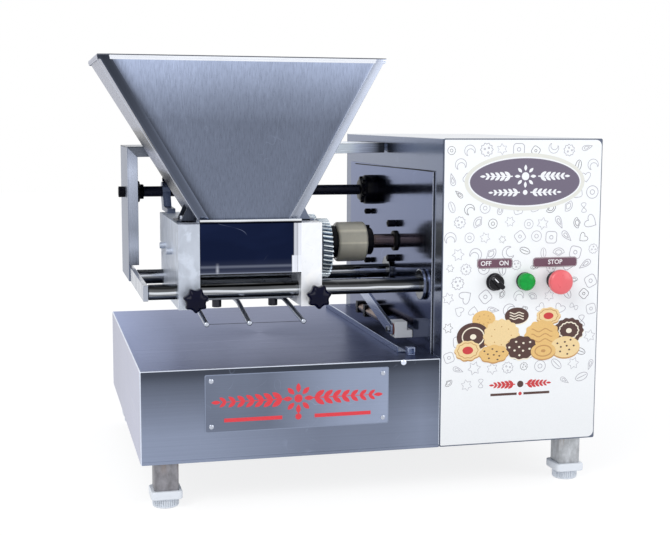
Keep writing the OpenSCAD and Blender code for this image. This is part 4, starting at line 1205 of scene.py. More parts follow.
            shape.prism(rim(1.0, 2.2), depth - 0.03, face, 0, 1, brown if ink != cocoa else cream)
            shape.prism(rim(1.0), depth, face, 0, 1, ink)
            top = face @ Matrix.Translation((0, 0, depth))
            light = cream if ink == cocoa else brown
            if kind == "chips":
                for i in range(9):
                    a, r = 2.4 * i + k, 0.27 * math.sqrt(i + 0.3)
                    shape.prism(moved(ellipse(w * 0.075, h * 0.09, 10), x + w * r * math.cos(a), z + h * r * math.sin(a)), 0.03,
                                top, 0, 1, cream if ink == cocoa else cocoa)
            elif kind == "ring":
                draw(shape, rim(0.66), 2.0, 0.03, top, light)
                shape.prism(moved(ellipse(w * 0.2, h * 0.2, 18), x, z), 0.03, top, 0, 1, light)
            elif kind == "jam":
                draw(shape, rim(0.78), 1.2, 0.03, top, brown)
                shape.prism(moved(ellipse(w * 0.42, h * 0.4, 24), x, z), 0.03, top, 0, 1, berry)
            elif kind == "wave":
                for i in (-1, 0, 1):
                    line = [(x + w * 0.62 * t, z + i * h * 0.34 + h * 0.1 * math.sin(5 * t)) for t in
                            (-1 + j / 8 for j in range(17))]
                    draw(shape, line, 1.6, 0.03, top, light, False)
            else:
                for i in range(8):
                    a = math.pi * i / 4
                    shape.prism(moved(ellipse(1.1, 1.0, 8), x + w * 0.55 * math.cos(a), z + h * 0.55 * math.sin(a)), 0.03, top,
                                0, 1, brown)
        for side in (1, -1):
            ear(shape, 621 + side * 9, 170, 40, 5, 9, face, 0.1, berry, side)
            shape.prism([(621 + side * 6, 152), (621 + side * 52, 152), (621 + side * 52, 156), (621 + side * 6, 156)][::side],
                        0.1, face, 0, 1, cocoa)
        shape.prism(moved(ellipse(5.5, 5.5, 24), 621, 170), 0.1, face, 0, 1, cocoa)
        shape.prism(moved(ellipse(3, 3, 16), 621, 154), 0.1, face, 0, 1, berry)
        settle(shape.object("panel_biscuits", inks), "cabinet_front", stands_in=False)


class DEPOSITOR_OT_controls(Operator):
    """Selector, green lamp and stop button with their collars and lettered plates"""
    bl_idname = "depositor.controls"
    bl_label = "Switches"

    def execute(self, context):
        black = plastic("Switch plastic", hue("black"), 0.26, 0.3)
        collar = plastic("Switch collar", shade(hue("black"), 1.8), 0.3, 0.2)
        white = printed("Switch print", (0.92, 0.92, 0.94))
        level = 341
        shape = Shape()
        for x, out, r in ((572, 4, 14.5), (624, 5, 14.5), (677, 12, 14.5)):
            shape.lathe([(-20, 0), (-20, 11), (0, 11), (0, r), (out - 1.6, r), (out - 0.4, r - 0.7), (out, r - 2),
                         (out, r - 4.5), (out - 1, r - 5), (out - 1, 0)], (x, 0, level), "-y", 48)
        settle(shape.object("switch_collars", [collar]), "control_collars")
        place = Matrix.Translation((572, 0, level)) @ aim("-y") @ Matrix.Rotation(math.radians(135), 4, "Z")
        shape = Shape()
        shape.lathe([(4.3, 0), (4.3, 12.6), (10.5, 13), (12, 12.2), (12.6, 10.5), (12.6, 0)], (572, 0, level), "-y", 48)
        shape.prism(round_rect(25, 8, 3.2, 5), 10, place @ Matrix.Translation((0, 0, 12)), 1.1, 3, 0)
        shape.prism(round_rect(9, 1.6, 0.7, 3), 0.25, place @ Matrix.Translation((6.8, 0, 22)), 0, 1, 1)
        settle(shape.object("selector_lever", [black, white]), "selector_knob")
        green = lens("Lamp lens", hue("green"))
        shape = Shape()
        shape.lathe([(4.2, 0), (4.2, 13.6), (5.4, 14.2), (13.2, 13.8), (14.8, 12.6), (16.0, 9.5), (16.7, 5), (17, 0)],
                    (624, 0, level), "-y", 48)
        rib = Shape()
        rib.box((-0.5, -0.35, 5.5), (0.45, 0.35, 13.6), 0.2, 2)
        shape.add(ring_of(rib, 36, 13.9, Matrix.Translation((624, 0, level)) @ aim("-y"), green))
        settle(shape.object("lamp_cap", [green]), "lamp_lens")
        dress("stop_stem", "stop_stem_rod", blackened("Stem steel", (0.05, 0.05, 0.06)), 0.3)
        red = plastic("Stop cap", hue("red"), 0.3, 0.3, 0.04, 0.06)
        shape = Shape()
        profile = [(26.4, 0), (26.4, 7.1), (19, 7.1), (19, 17.5), (19.8, 19.4), (21.5, 20.0), (27.5, 20.0), (29, 19.4),
                   (30.6, 17.6), (31.8, 14.8), (32.8, 11), (33.5, 7), (33.9, 3), (34, 0)]
        shape.lathe(profile, (677, 0, level), "-y", 72)
        settle(shape.object("stop_cap", [red]), "stop_button")
        self.plates()
        return {"FINISHED"}

    def plates(self):
        """Rounded label plates with a thin outline and plain switch words."""
        ground = printed("Label ground", hue("maroon"), 0.3, 0.1)
        white = printed("Label print", (0.92, 0.90, 0.92))
        shape = Shape()
        art = Shape()
        for x, width, words in ((572, 61, (("OFF", -15.5), ("ON", 15.5))), (677, 78, (("STOP", 0),))):
            face = Matrix.Translation((x, 0, 371)) @ aim("-y")
            shape.prism(round_rect(width, 16, 5, 5), 0.8, face, 0.2, 2)
            top = face @ Matrix.Translation((0, 0, 0.8))
            draw(art, round_rect(width - 2.0, 14.0, 4.2, 5), 0.35, 0.1, top)
            for word, at in words:
                art.add(letters(word, 7.4), top @ Matrix.Translation((at, 0, 0)), 0)
        settle(shape.object("label_grounds", [ground]), "label_plates")
        settle(art.object("label_words", [white]), "label_plates", stands_in=False)


def letters(word, height):
    """A plain switch word as a thin raised mesh, centred on zero."""
    curve = bpy.data.curves.new("letters", "FONT")
    curve.body = word
    curve.align_x = "CENTER"
    curve.align_y = "CENTER"
    curve.size = height / 0.7
    curve.offset = 0.022 * curve.size
    curve.extrude = 0.05
    curve.resolution_u = 3
    obj = bpy.data.objects.new("letters", curve)
    bpy.context.scene.collection.objects.link(obj)
    bpy.context.view_layer.update()
    mesh = bpy.data.meshes.new_from_object(obj.evaluated_get(bpy.context.evaluated_depsgraph_get()))
    bpy.data.objects.remove(obj)
    bm = bmesh.new()
    bm.from_mesh(mesh)
    bpy.data.meshes.remove(mesh)
    bmesh.ops.remove_doubles(bm, verts=bm.verts, dist=1e-4)
    return bm


def round_corners(width, height, radii, steps=6):
    """Outline of a rectangle with its own radius at each corner."""
    out = []
    for k, (key, sx, sy) in enumerate((("tr", 1, 1), ("tl", -1, 1), ("bl", -1, -1), ("br", 1, -1))):
        r = radii[key]
        for i in range(steps + 1):
            a = math.pi / 2 * (k + i / steps)
            out.append((sx * (width / 2 - r) + r * math.cos(a), sy * (height / 2 - r) + r * math.sin(a)))
    return out


class DEPOSITOR_OT_rods(Operator):
    """Polished guide rods with their flanges, tied at the left by a bright bar"""
    bl_idname = "depositor.rods"
    bl_label = "Guide rods"

    def execute(self, context):
        lo, hi = span("guide_rods")
        # Painted reflections: dark and bright streaks in bands along Z on both rods, darker on the rear rod as painted
        # shade
        chrome = [reflection_banded("Front rod chrome", (0.90, 0.94, 1.0), "z", 0.3155, 0.3405,
                         ((0, 0.008), (0.15, 0.012), (0.2, 0.22), (0.32, 0.36), (0.37, 0.1), (0.42, 0.55), (0.52, 0.85),
                          (0.57, 0.15), (0.7, 0.1), (0.77, 0.02), (0.88, 0.03), (0.94, 0.16), (1, 0.25)), 0.1),
                  reflection_banded("Rear rod chrome", (0.86, 0.9, 1.0), "z", 0.3155, 0.3405,
                         ((0, 0.015), (0.14, 0.02), (0.3, 0.10), (0.45, 0.12), (0.58, 0.5), (0.65, 0.7), (0.72, 0.3),
                          (0.85, 0.04), (1, 0.2)), 0.1)]
        shape = Shape()
        for k, y in enumerate((lo.y + 12.5, hi.y - 12.5)):
            shape.lathe([(0, 0), (0, 11), (1.5, 12.5), (hi.x - lo.x, 12.5), (hi.x - lo.x, 0)], (lo.x, y, 328), "x", 64, k)
        settle(shape.object("guide_rod_pair", chrome), "guide_rods")
        face = polished("Flange face", shade(hue("chrome"), 0.22), 0.12)
        rim = polished("Flange rim", shade(hue("chrome"), 1.1), 0.16)
        shape = Shape()
        # The front flange's rim takes the bright rim finish, a painted highlight; the rear flange's rim takes the dark
        # face finish, painted shade
        for y, slot in ((88, 1), (285, 0)):
            shape.lathe([(0.6, 12.6), (0, 13.4), (0, 24.6), (5.4, 25.2), (6, 24.6), (6, 12.6), (0.6, 12.6)],
                        (473, y, 328), "x", 64, 0)
            shape.lathe([(-0.15, 24.4), (-0.15, 25), (0.4, 26), (3.5, 26), (4, 25.4), (4, 24.4), (-0.15, 24.4)],
                        (473, y, 328), "x", 64, slot)
        settle(shape.object("flange_pair", [face, rim]), "rod_flanges")
        dress("tie_bar", "tie_bar_plate", polished("Tie bar steel", shade(hue("chrome"), 0.85), 0.2), 0.8)
        return {"FINISHED"}


class DEPOSITOR_OT_upper_frame(Operator):
    """Folded upper frame with its black shaft, nut, flange, spacer and wall hub"""
    bl_idname = "depositor.upper_frame"
    bl_label = "Upper frame"

    def execute(self, context):
        steel = hue("steel")
        lo, hi = span("u_frame")
        x0, x1, y0, y1, z0, z1 = lo.x, hi.x, lo.y, hi.y, lo.z, hi.z
        web = brushed("Frame web", steel, 0.74, "z", 0.3)
        # Painted light: the face's bands along Z are a painted sheen, and the bar's along X, bright beside the hopper
        # and dark at the wall, a painted highlight and painted shadow
        face = brushed("Frame face", (0.42, 0.46, 0.56), 1.0, "z", 0.26,
                       ("z", 0.344, 0.552, (0, 0.5), (0.16, 1.1), (0.3, 0.75), (0.62, 1.1), (0.8, 1.6), (0.92, 1.2),
                        (1, 0.9)), metal=0.7)
        bar = brushed("Frame bar", (0.52, 0.57, 0.68), 1.0, "x", 0.24,
                      ("x", lo_row(0.012), lo_row(0.479), (0, 0.3), (0.2, 0.7), (0.66, 1.3), (0.86, 1.8), (0.95, 0.8),
                       (0.98, 0.1), (1, 0.08)), metal=0.6)
        shape = Shape()
        shape.box((x0, y0, z0), (x0 + 2, y1, z1), 0.7, 3, 0)
        rise = 7
        along = [(x0, z1 - 2), (x1, z1 - 2 + rise), (x1, z1 + rise), (x0, z1)]
        shape.prism(along, y1 - y0, Matrix.Translation((0, y1, 0)) @ aim("-y"), 0.7, 3, 2)
        for y in (y0, y1 - 2):
            shape.prism([(x0, 344), (x0 + 18, 344), (x0 + 18, z1 - 18), (x0, z1)], 2,
                        Matrix.Translation((0, y + 2, 0)) @ aim("-y"), 0.6, 3, 1)
            shape.prism([(x0, z1), (x0 + 18, z1 - 18), (x1, z1 - 18 + rise), (x1, z1 + rise)], 2,
                        Matrix.Translation((0, y + 2, 0)) @ aim("-y"), 0.6, 3, 2)
        settle(shape.object("folded_frame", [web, face, bar]), "u_frame")
        black = blackened("Shaft black", (0.015, 0.017, 0.034), 0.24)
        shape = Shape()
        shape.lathe([(8, 0), (8, 5.4), (9, 6), (45, 6), (45, 8.6), (46, 9.5), (467, 9.5), (467, 0)], (0, 385, 470), "x",
                    48)
        settle(shape.object("upper_shaft_rod", [black]), "upper_shaft")
        bolt = blackened("Fixing black", (0.001, 0.001, 0.004), 0.3)
        shape = Shape()
        at = Matrix.Translation((0, 385, 470)) @ aim("x")
        shape.prism(hexagon(19), 11, at @ Matrix.Translation((0, 0, 0.6)), 0.9, 3)
        shape.lathe([(0, 6.2), (0, 8), (1, 8.8), (11.4, 8.8), (11.4, 6.2)], (0.4, 385, 470), "x", 40)
        shape.lathe([(14, 6.2), (14, 12), (34, 12), (34, 6.2)], (0, 385, 470), "x", 40, 0)
        shape.lathe([(34, 6.2), (34, 18.2), (34.8, 19), (37.2, 19), (38, 18), (38, 6.2)], (0, 385, 470), "x", 56)
        shape.prism(hexagon(26), 7, at @ Matrix.Translation((0, 0, 38)), 1.0, 3)
        settle(shape.object("shaft_nuts", [bolt]), "shaft_fixings")
        hub = plastic("Hub plastic", (0.0004, 0.0004, 0.004), 0.3)
        shape = Shape()
        shape.lathe([(0, 9.8), (0, 17), (1.5, 19.5), (6, 21), (7.5, 22.8), (9, 25.5), (12, 27.2), (24, 27.6), (31, 27.6),
                     (31, 9.8)], (448, 385, 470), "x", 72)
        lobe = Shape()
        lobe.lathe([(2.5, 0), (2.5, 4.4), (4, 5.6), (12, 5.8), (12, 0)], (0, 0, 0), "z", 24)
        shape.add(ring_of(lobe, 6, 19.5, Matrix.Translation((448, 385, 470)) @ aim("x"), hub, 0.3))
        settle(shape.object("wall_hub_body", [hub]), "wall_hub")
        return {"FINISHED"}


class DEPOSITOR_OT_housing(Operator):
    """Milled bearing blocks, the polished front cover, the rear cover, the die and its nozzles"""
    bl_idname = "depositor.housing"
    bl_label = "Roller housing"

    def execute(self, context):
        # The right blocks take a brighter copy of the alloy than the left ones: painted light
        alloy = milled("Block alloy", shade(hue("alloy"), 0.80), 0.34, 0.3)
        bright = milled("Bright block alloy", (0.93, 0.95, 0.99), 0.4, 0.2)
        seam = blackened("Seam shadow", (0.03, 0.03, 0.04))
        for side, metal in (("l", alloy), ("r", bright)):
            dress(f"block_{side}_upper", f"block_{side}_upper_milled", metal, sizes().block_edge)
            lo, hi = span(f"block_{side}_lower")
            shape = Shape()
            shape.add(copy_of(f"block_{side}_lower", sizes().block_edge))
            # Thin black boxes in the split, clear of the bores: a painted shadow
            for y0, y1 in ((lo.y + 0.3, 136), (168, 231), (263, hi.y - 0.3)):
                shape.box((lo.x + 0.3, y0, hi.z - 0.6), (hi.x - 0.3, y1, hi.z + 0.6), 0, 1, 1)
            settle(shape.object(f"block_{side}_lower_milled", [metal, seam]), f"block_{side}_lower")
        self.cover()
        dress("cover_rear", "cover_rear_sheet", brushed("Rear cover", hue("steel"), 0.9, "x", 0.3), 0.3)
        # The die's alloy is a much darker copy of the block alloy: painted shade under the housing
        dress("die_block", "die_block_milled", milled("Die alloy", shade(hue("alloy"), 0.34), 0.3, 0.3), 0.7)
        shape = Shape()
        for x in (149, 246):
            shape.lathe([(284, 5.6), (284, 7.4), (284.6, 8), (301, 8), (301, 12), (301.6, 12.6), (306, 12.6), (306, 5.6),
                         (284, 5.6)], (x, 199.5, 0), "z", 40)
        settle(shape.object("nozzle_pair", [polished("Nozzle steel", (0.05, 0.05, 0.06), 0.3)]), "nozzles")
        dress("support_bracket", "support_bracket_plate", brushed("Bracket steel", hue("steel"), 0.85, "z", 0.3), 0.6)
        flutes = milled("Roller alloy", shade(hue("alloy"), 0.8))
        dress("roller_front", "roller_front_turned", flutes, 0.3)
        dress("roller_rear", "roller_rear_turned", flutes, 0.3)
        return {"FINISHED"}

    def cover(self):
        """Front cover with a rolled top edge and a folded lower lip."""
        lo, hi = span("cover_front")
        x0, x1, y = lo.x, hi.x, 60
        top = hi.z - 3.5
        outline = [(y + 18, lo.z + 0.1), (y + 18, lo.z + 1.6), (y + 2.6, lo.z + 1.6), (y + 1.5, lo.z + 2.6),
                   (y + 1.5, top - 3.0)]
        outline += [(y + 1.0 + 3.3 * math.cos(a), top + 3.3 * math.sin(a)) for a in
                    (math.radians(-60 + 240 * i / 12) for i in range(13))]
        outline += [(y - 2.2, top - 1.4), (y - 0.1, top - 4.2), (y, lo.z + 2.2), (y + 0.9, lo.z + 0.5), (y + 2, lo.z + 0.1)]
        # Painted reflections: the cover's sheet, and the rolled top edge, bright above as a painted highlight and dark
        # below as painted shade
        dark = mirror_sheet("Cover mirror", hue("mirror"))
        low, high = CORNER.z + (top - 3.5) * MM, CORNER.z + (top + 3.3) * MM
        bright = reflection_banded("Cover roll", (0.92, 0.95, 1.0), "z", low, high, ((0, 0.02), (0.35, 0.04), (0.5, 0.7), (0.75, 1.0),
                                                                          (1, 0.85)), 0.12)
        part = bmesh.new()
        rings = [[part.verts.new((x, py, pz)) for py, pz in outline] for x in (x0, x1)]
        count = len(outline)
        for i in range(count):
            face = part.faces.new((rings[0][i], rings[0][(i + 1) % count], rings[1][(i + 1) % count], rings[1][i]))
            mid = sum((v.co for v in face.verts), Vector()) / 4
            face.material_index = 1 if mid.z > top - 2.5 or mid.z < lo.z + 2.2 else 0
        for ring in rings:
            part.faces.new(ring)
        shape = Shape()
        shape.add(part, None, None)
        settle(shape.object("cover_front_sheet", [dark, bright], 30), "cover_front")


@once
def mirror_sheet(name, tone):
    """Polished sheet whose colour holds painted reflections: a dark tone with a lighter sweep, a band low down, strips
    at its right end and a curved glint; thin curved scratches cross it.
    """
    n = Nodes(name)
    cloud = n.noise((7, 7, 12), 1, 3, 0.5, 0.6)
    base = n.mix(n.levels(cloud, 0, 0.6, 0.42, 0.62), tone, shade(tone, 1.8))
    low = CORNER.z + 0.357
    # A band of painted reflection low on the cover
    band = n.ramp(n.along("z", low, low + 0.03), (0, 0.85), (0.1, 0.1), (0.28, 0.04), (0.4, 0.3), (0.5, 0.03), (0.8, 0.0))
    base = n.mix(band, base, (0.42, 0.46, 0.58))
    base = n.mix(scratch(n, 0.8, 10, (0.4, 0.9, 0.2), 0.0016, 0.3), base, (0.42, 0.47, 0.6))
    base = n.mix(scratch(n, 0.6, 14, (1.1, 0.3, 0.7), 0.0016, 0.2), base, (0.3, 0.35, 0.5))
    # Strips at the right end: a painted reflection of the right block
    edge, left = (lo_row(0.265), 0, 0), (-1, 0, 0)
    under = n.beside(edge, left, (0, 1.0), (0.0052, 1.0), (0.0058, 0.45), (0.0066, 0.85), (0.0146, 0.95), (0.0158, 0.0))
    over = n.beside(edge, left, (0, 0.95), (0.0052, 0.9), (0.0058, 0.4), (0.0066, 0.6), (0.0112, 0.72), (0.0128, 0.0))
    split = n.ramp(n.along("z", low, low + 0.08), (0.34, 0.0), (0.36, 1.0))
    base = n.mix(n.mix(split, under, over), base, (0.86, 0.89, 0.97))
    # A painted glint
    glint = n.maths("MULTIPLY", n.beside((lo_row(0.130), 0, 0), (1, 0, 0), (-0.004, 0.0), (-0.0005, 0.7), (0.001, 0.4),
                                         (0.003, 0.0)), n.ramp(n.along("z", low, low + 0.022), (0, 0.2), (0.25, 0.7), (0.85, 0.0)))
    base = n.mix(glint, base, (0.8, 0.84, 0.95))
    fine = n.noise((500, 500, 30), 1, 2, 0.5)
    n.bump(fine, 0.03, 0.0003)
    return n.set(Base_Color=base, Metallic=1.0, Roughness=n.levels(cloud, 0.08, 0.16, 0.4, 0.7))


def crease(low, high, side):
    """Plane through a slanted fold of the hopper's front, as a row point and a unit normal towards side along X."""
    (x0, z0), (x1, z1) = low, high
    normal = Vector((z1 - z0, 0, x0 - x1)).normalized() * side
    return (CORNER.x + x0 * MM, 0.0, z0 * MM), tuple(normal)


class DEPOSITOR_OT_hopper(Operator):
    """Tapered sheet hopper with folded corner strips, a folded rim and two bolted feet"""
    bl_idname = "depositor.hopper"
    bl_label = "Hopper"

    def execute(self, context):
        steel = hue("steel")
        low, top = CORNER.z + 0.443, CORNER.z + 0.697
        # The front lightens towards the top, and the bands beside its slanted folds, dark at the left fold and bright
        # at the right, are painted reflection, painted shade and painted highlight
        painted_light = ("z", low, top, (0, 0.52), (0.28, 0.54), (0.6, 0.6), (0.76, 0.92), (0.93, 1.5), (1, 1.75))
        crease_l = crease((101 + 18, 443), (-52 + 18, 697), 1)
        crease_r = crease((264 - 18, 443), (398 - 18, 697), -1)
        soft = ((*crease_l, (0, 0.42), (0.006, 0.85), (0.016, 1.12), (0.09, 1.05), (0.2, 0.92)),
                (*crease_r, (0, 1.25), (0.004, 1.0), (0.03, 1.12), (0.12, 1.0)))
        front = brushed("Hopper front", steel, 0.97, "z", 0.3, painted_light, 0.1, 0.16, soft, 0.2, 0.1)
        # The left wall's dark and light bands along Z are painted reflections
        left = brushed("Hopper left", (0.30, 0.32, 0.41), 1.0, "z", 0.26,
                       ("z", low, top, (0, 0.3), (0.1, 0.8), (0.16, 0.15), (0.27, 0.12), (0.31, 1.0), (0.40, 0.95),
                        (0.44, 0.12), (0.53, 0.16), (0.57, 0.95), (1, 1.2)), 0.2, 0.12, (), 0.06, 0.06, 0.25)
        # The left corner strip darkens towards the top as painted shade and the right one lightens as a painted
        # reflection, both with painted highlight lines at their folds
        outer_l = crease((101, 443), (-52, 697), 1)
        dark = brushed("Hopper left corner", steel, 0.36, "z", 0.2, ("z", low, top, (0, 1.1), (0.4, 0.85), (0.8, 0.5),
                                                                     (1, 0.4)), 0.1, 0.12,
                       ((*outer_l, (0, 1.3), (0.004, 0.9), (0.011, 1.0), (0.016, 1.7)),))
        outer_r = crease((264, 443), (398, 697), -1)
        pale = brushed("Hopper right corner", (0.46, 0.50, 0.60), 1.0, "z", 0.24, ("z", low, top, (0, 0.7), (0.5, 1.15),
                                                                                     (1, 1.4)),
                       0.1, 0.12, ((*outer_r, (0, 1.15), (0.008, 0.95), (0.012, 0.75), (0.016, 1.15)),), metal=0.7)
        # The inside is a darker copy of the steel: painted shade
        inner = brushed("Hopper inside", steel, 0.7, "z", 0.35)
        rim = brushed("Hopper rim", (0.86, 0.89, 0.96), 1.0, "x", 0.24, metal=0.6)
        lip = polished("Hopper lip", (0.14, 0.15, 0.18), 0.3)
        seam = polished("Hopper seam", shade(hue("chrome"), 1.1), 0.2)
        strip_w, strip_d, sheet = 18, 4, 1.5

        def ring(x0, x1, y0, y1, inset):
            return [(x0 + inset, y1 - inset), (x0 + inset, y0 + inset + strip_d), (x0 + strip_w + inset, y0 + inset),
                    (x1 - strip_w - inset, y0 + inset), (x1 - inset, y0 + inset + strip_d), (x1 - inset, y1 - inset)]

        mouth, outlet = (-52, 398, 38, 300), (101, 264, 66, 238)
        part = bmesh.new()
        rings = []
        for inset, levels in ((0, (443, 697)), (sheet, (697, 443))):
            for z in levels:
                box = outlet if z == 443 else mouth
                rings.append([part.verts.new((x, y, z)) for x, y in ring(*box, inset)])
        rings.append(rings[0])
        slots = {0: 1, 1: 2, 2: 0, 3: 6, 4: 1, 5: 3}
        for k, (a, b) in enumerate(zip(rings, rings[1:])):
            for i in range(6):
                j = (i + 1) % 6
                face = part.faces.new((a[i], a[j], b[j], b[i]))
                face.material_index = slots[i] if k == 0 else 3 if k == 2 else 4
        bmesh.ops.recalc_face_normals(part, faces=part.faces)
        rounded(part, 0.6, 2, 12)
        shape = Shape()
        shape.add(part, None, None)
        self.rim(shape, ring, mouth)
        self.seams(shape, ring, mouth, outlet)
        self.feet(shape)
        settle(shape.object("hopper_funnel", [front, left, dark, inner, rim, seam, pale, lip], 25), "hopper")
        wing = Shape()
        wing.lathe([(0, 0), (0, 6), (1.5, 6), (1.5, 5.4), (2.4, 5.4), (2.4, 0)], (0, 0, 0), "z", 24)
        wing.prism(hexagon(10), 3.6, Matrix.Translation((0, 0, 2.0)), 0.7, 3)
        bright = polished("Hopper bolts", hue("chrome"), 0.14)
        shape = Shape()
        shape.add(parts_on(wing, [(85, 128, 440.2), (282, 128, 440.2)], Matrix.Identity(4), bright, 0.5))
        settle(shape.object("hopper_bolt_pair", [bright]), "hopper_bolts")
        return {"FINISHED"}

    def rim(self, shape, ring, mouth):
        """Folded band round the mouth with a dark lip along its top."""
        profile = [(0.3, 692.0), (-0.1, 692.2), (-0.35, 692.8), (-0.35, 695.0), (-0.3, 695.3), (-0.3, 696.4), (0.1, 697),
                   (1.4, 697), (1.7, 696.6), (1.7, 689), (0.5, 689)]
        slots = {0: 1, 1: 2, 2: 4, 3: 6, 4: 1, 5: 3}
        part = bmesh.new()
        rings = [[part.verts.new((x, y, z)) for x, y in ring(*mouth, inset)] for inset, z in profile]
        for k, (a, b) in enumerate(zip(rings, rings[1:] + rings[:1])):
            for i in range(6):
                j = (i + 1) % 6
                face = part.faces.new((a[i], a[j], b[j], b[i]))
                face.material_index = 7 if 4 <= k <= 6 and i else slots[i]
        shape.add(part, None, None)

    def seams(self, shape, ring, mouth, outlet):
        """Bright thin seams beside the corner strips."""
        low, high = ring(*outlet, -0.25), ring(*mouth, -0.25)
        for i in (1, 3):
            a, b = Vector((*low[i], 443.5)), Vector((*high[i], 688.5))
            shape.pipe([a, b], 0.4, 6, 5)

    def feet(self, shape):
        """Bent feet that carry the hopper on the blocks."""
        for x, side in ((71, 1), (268, -1)):
            shape.box((x, 102, 437), (x + 28, 154, 440), 0.5, 2, 0)
            for y in (102, 151):
                outline = [(-3, 0), (22, 0), (6, 34), (-4, 12)]
                outline = [((x + 28 - px) if side > 0 else (x + px), 437 + pz) for px, pz in outline]
                shape.prism(outline, 3, Matrix.Translation((0, y + 3, 0)) @ aim("-y"), 0.4, 2, 0)


def star(points, outer, inner, height, lobes=1.0, steps=10):
    """A ring of a knob with soft points; lobes fades them into a circle."""
    out = []
    for i in range(points * steps):
        a = 2 * math.pi * i / (points * steps)
        r = inner + (outer - inner) * (lobes * abs(math.cos(points * a / 2)) ** 3 + (1 - lobes) * 0.35)
        out.append((r * math.cos(a), r * math.sin(a), height))
    return out


class DEPOSITOR_OT_knobs(Operator):
    """Two star knobs on the blocks and the small clamp knob on the bracket"""
    bl_idname = "depositor.knobs"
    bl_label = "Knobs"

    def execute(self, context):
        black = plastic("Knob plastic", (0.0006, 0.0012, 0.014), 0.16, 0.0, 0.01)
        steel = polished("Knob stud", shade(hue("chrome"), 0.6), 0.2)
        for side, x in (("l", 92), ("r", 289)):
            shape = Shape()
            at = Matrix.Translation((x, 60, 320)) @ aim("-y")
            shape.lathe([(-15, 0), (-15, 3.9), (0, 4), (2, 4)], (x, 60, 320), "-y", 24, 1)
            shape.lathe([(0.4, 0), (0.4, 9), (2, 9), (13, 8), (15, 10.5), (15, 0)], (x, 60, 320), "-y", 40, 0)
            layers = ((14, 0.80, 1), (15, 0.93, 1), (16.5, 1.0, 1), (23, 1.0, 1), (26, 0.975, 1), (28.5, 0.9, 0.9),
                      (30.8, 0.74, 0.7), (32.4, 0.52, 0.4), (33.5, 0.28, 0.1), (34, 0.08, 0))
            shape.skin([star(7, 20 * size, 16.2 * size, height, lobes) for height, size, lobes in layers],
                       at @ Matrix.Rotation(0.22, 4, "Z"), 0)
            settle(shape.object(f"star_knob_{side}", [black, steel], 55), f"knob_{side}")
        shape = Shape()
        shape.lathe([(8, 0), (8, 2.4), (16, 2.4), (16.5, 5.6), (18.2, 6), (22.6, 6), (24, 5.2), (24, 0)],
                    (85, 385, 471.5), "z", 32, 0)
        wing = [(0, 0), (5, 0.5), (8.2, 7), (8.6, 12), (6.5, 18.5), (3.5, 22), (0, 22), (-3.5, 22), (-6.5, 18.5),
                (-8.6, 12), (-8.2, 7), (-5, 0.5)]
        shape.prism(wing, 5.6, Matrix.Translation((85, 387.8, 495.3)) @ aim("-y"), 1.8, 4, 0, 20)
        settle(shape.object("clamp_wing", [black]), "clamp_knob")
        return {"FINISHED"}


def helical_tooth(inner, root, tip, module, width, twist, backlash=0.5):
    """One slanted tooth round the local Z axis, with flanks that curve in to the tip."""
    pitch = (root + 1.2 * module)
    half = (math.pi * module / 2 - backlash) / 2
    slant = math.tan(math.radians(20))
    rows = []
    for r in (inner, root, root + 0.6 * module, pitch, pitch + 0.6 * module, tip - 0.25, tip):
        w = half - (r - pitch) * slant
        if r == tip:
            w -= 0.3
        if r == inner:
            w = half + (pitch - root) * slant + 0.5
        rows.append((r, w / r))
    outline = [(r, -a) for r, a in rows] + [(r, a) for r, a in reversed(rows)]
    shape = Shape()
    part = bmesh.new()
    rings = []
    for z, shrink in ((0, 0.35), (0.5, 0), (width * 0.25, 0), (width * 0.5, 0), (width * 0.75, 0), (width - 0.5, 0),
                      (width, 0.35)):
        turn = twist * (z / width - 0.5)
        ring = []
        for r, a in outline:
            radius = r - shrink if r > root else r
            ring.append(part.verts.new((radius * math.cos(a + turn), radius * math.sin(a + turn), z)))
        rings.append(ring)
    count = len(outline)
    for low, high in zip(rings, rings[1:]):
        for i in range(count):
            part.faces.new((low[i], low[(i + 1) % count], high[(i + 1) % count], high[i]))
    part.faces.new(rings[0])
    part.faces.new(rings[-1])
    return shape.add(part)


@once
def toothed_with_painted_light(name, centre, root, tip):
    """Gear steel with painted light: bright towards the tooth tops as a painted highlight, dark in the gaps as painted
    shade, with a cloudy tone.
    """
    n = Nodes(name)
    out = n.levels(n.radial(centre), 0, 1, root - 0.002, tip)
    base = n.ramp(out, (0, (0.28, 0.33, 0.42)), (0.3, (0.07, 0.09, 0.12)), (0.55, (0.32, 0.40, 0.50)),
                  (0.85, (0.84, 0.93, 1.0)), (1, (0.92, 0.98, 1.0)))
    cloud = n.noise((1, 1, 1), 60, 3, 0.6)
    base = n.mix(n.levels(cloud, 0, 0.6, 0.4, 0.7), base, (0.24, 0.29, 0.34))
    n.bump(n.noise((300, 300, 300), 1, 2, 0.5), 0.04, 0.0003)
    return n.set(Base_Color=base, Metallic=0.9, Roughness=n.levels(cloud, 0.2, 0.32, 0.3, 0.7))


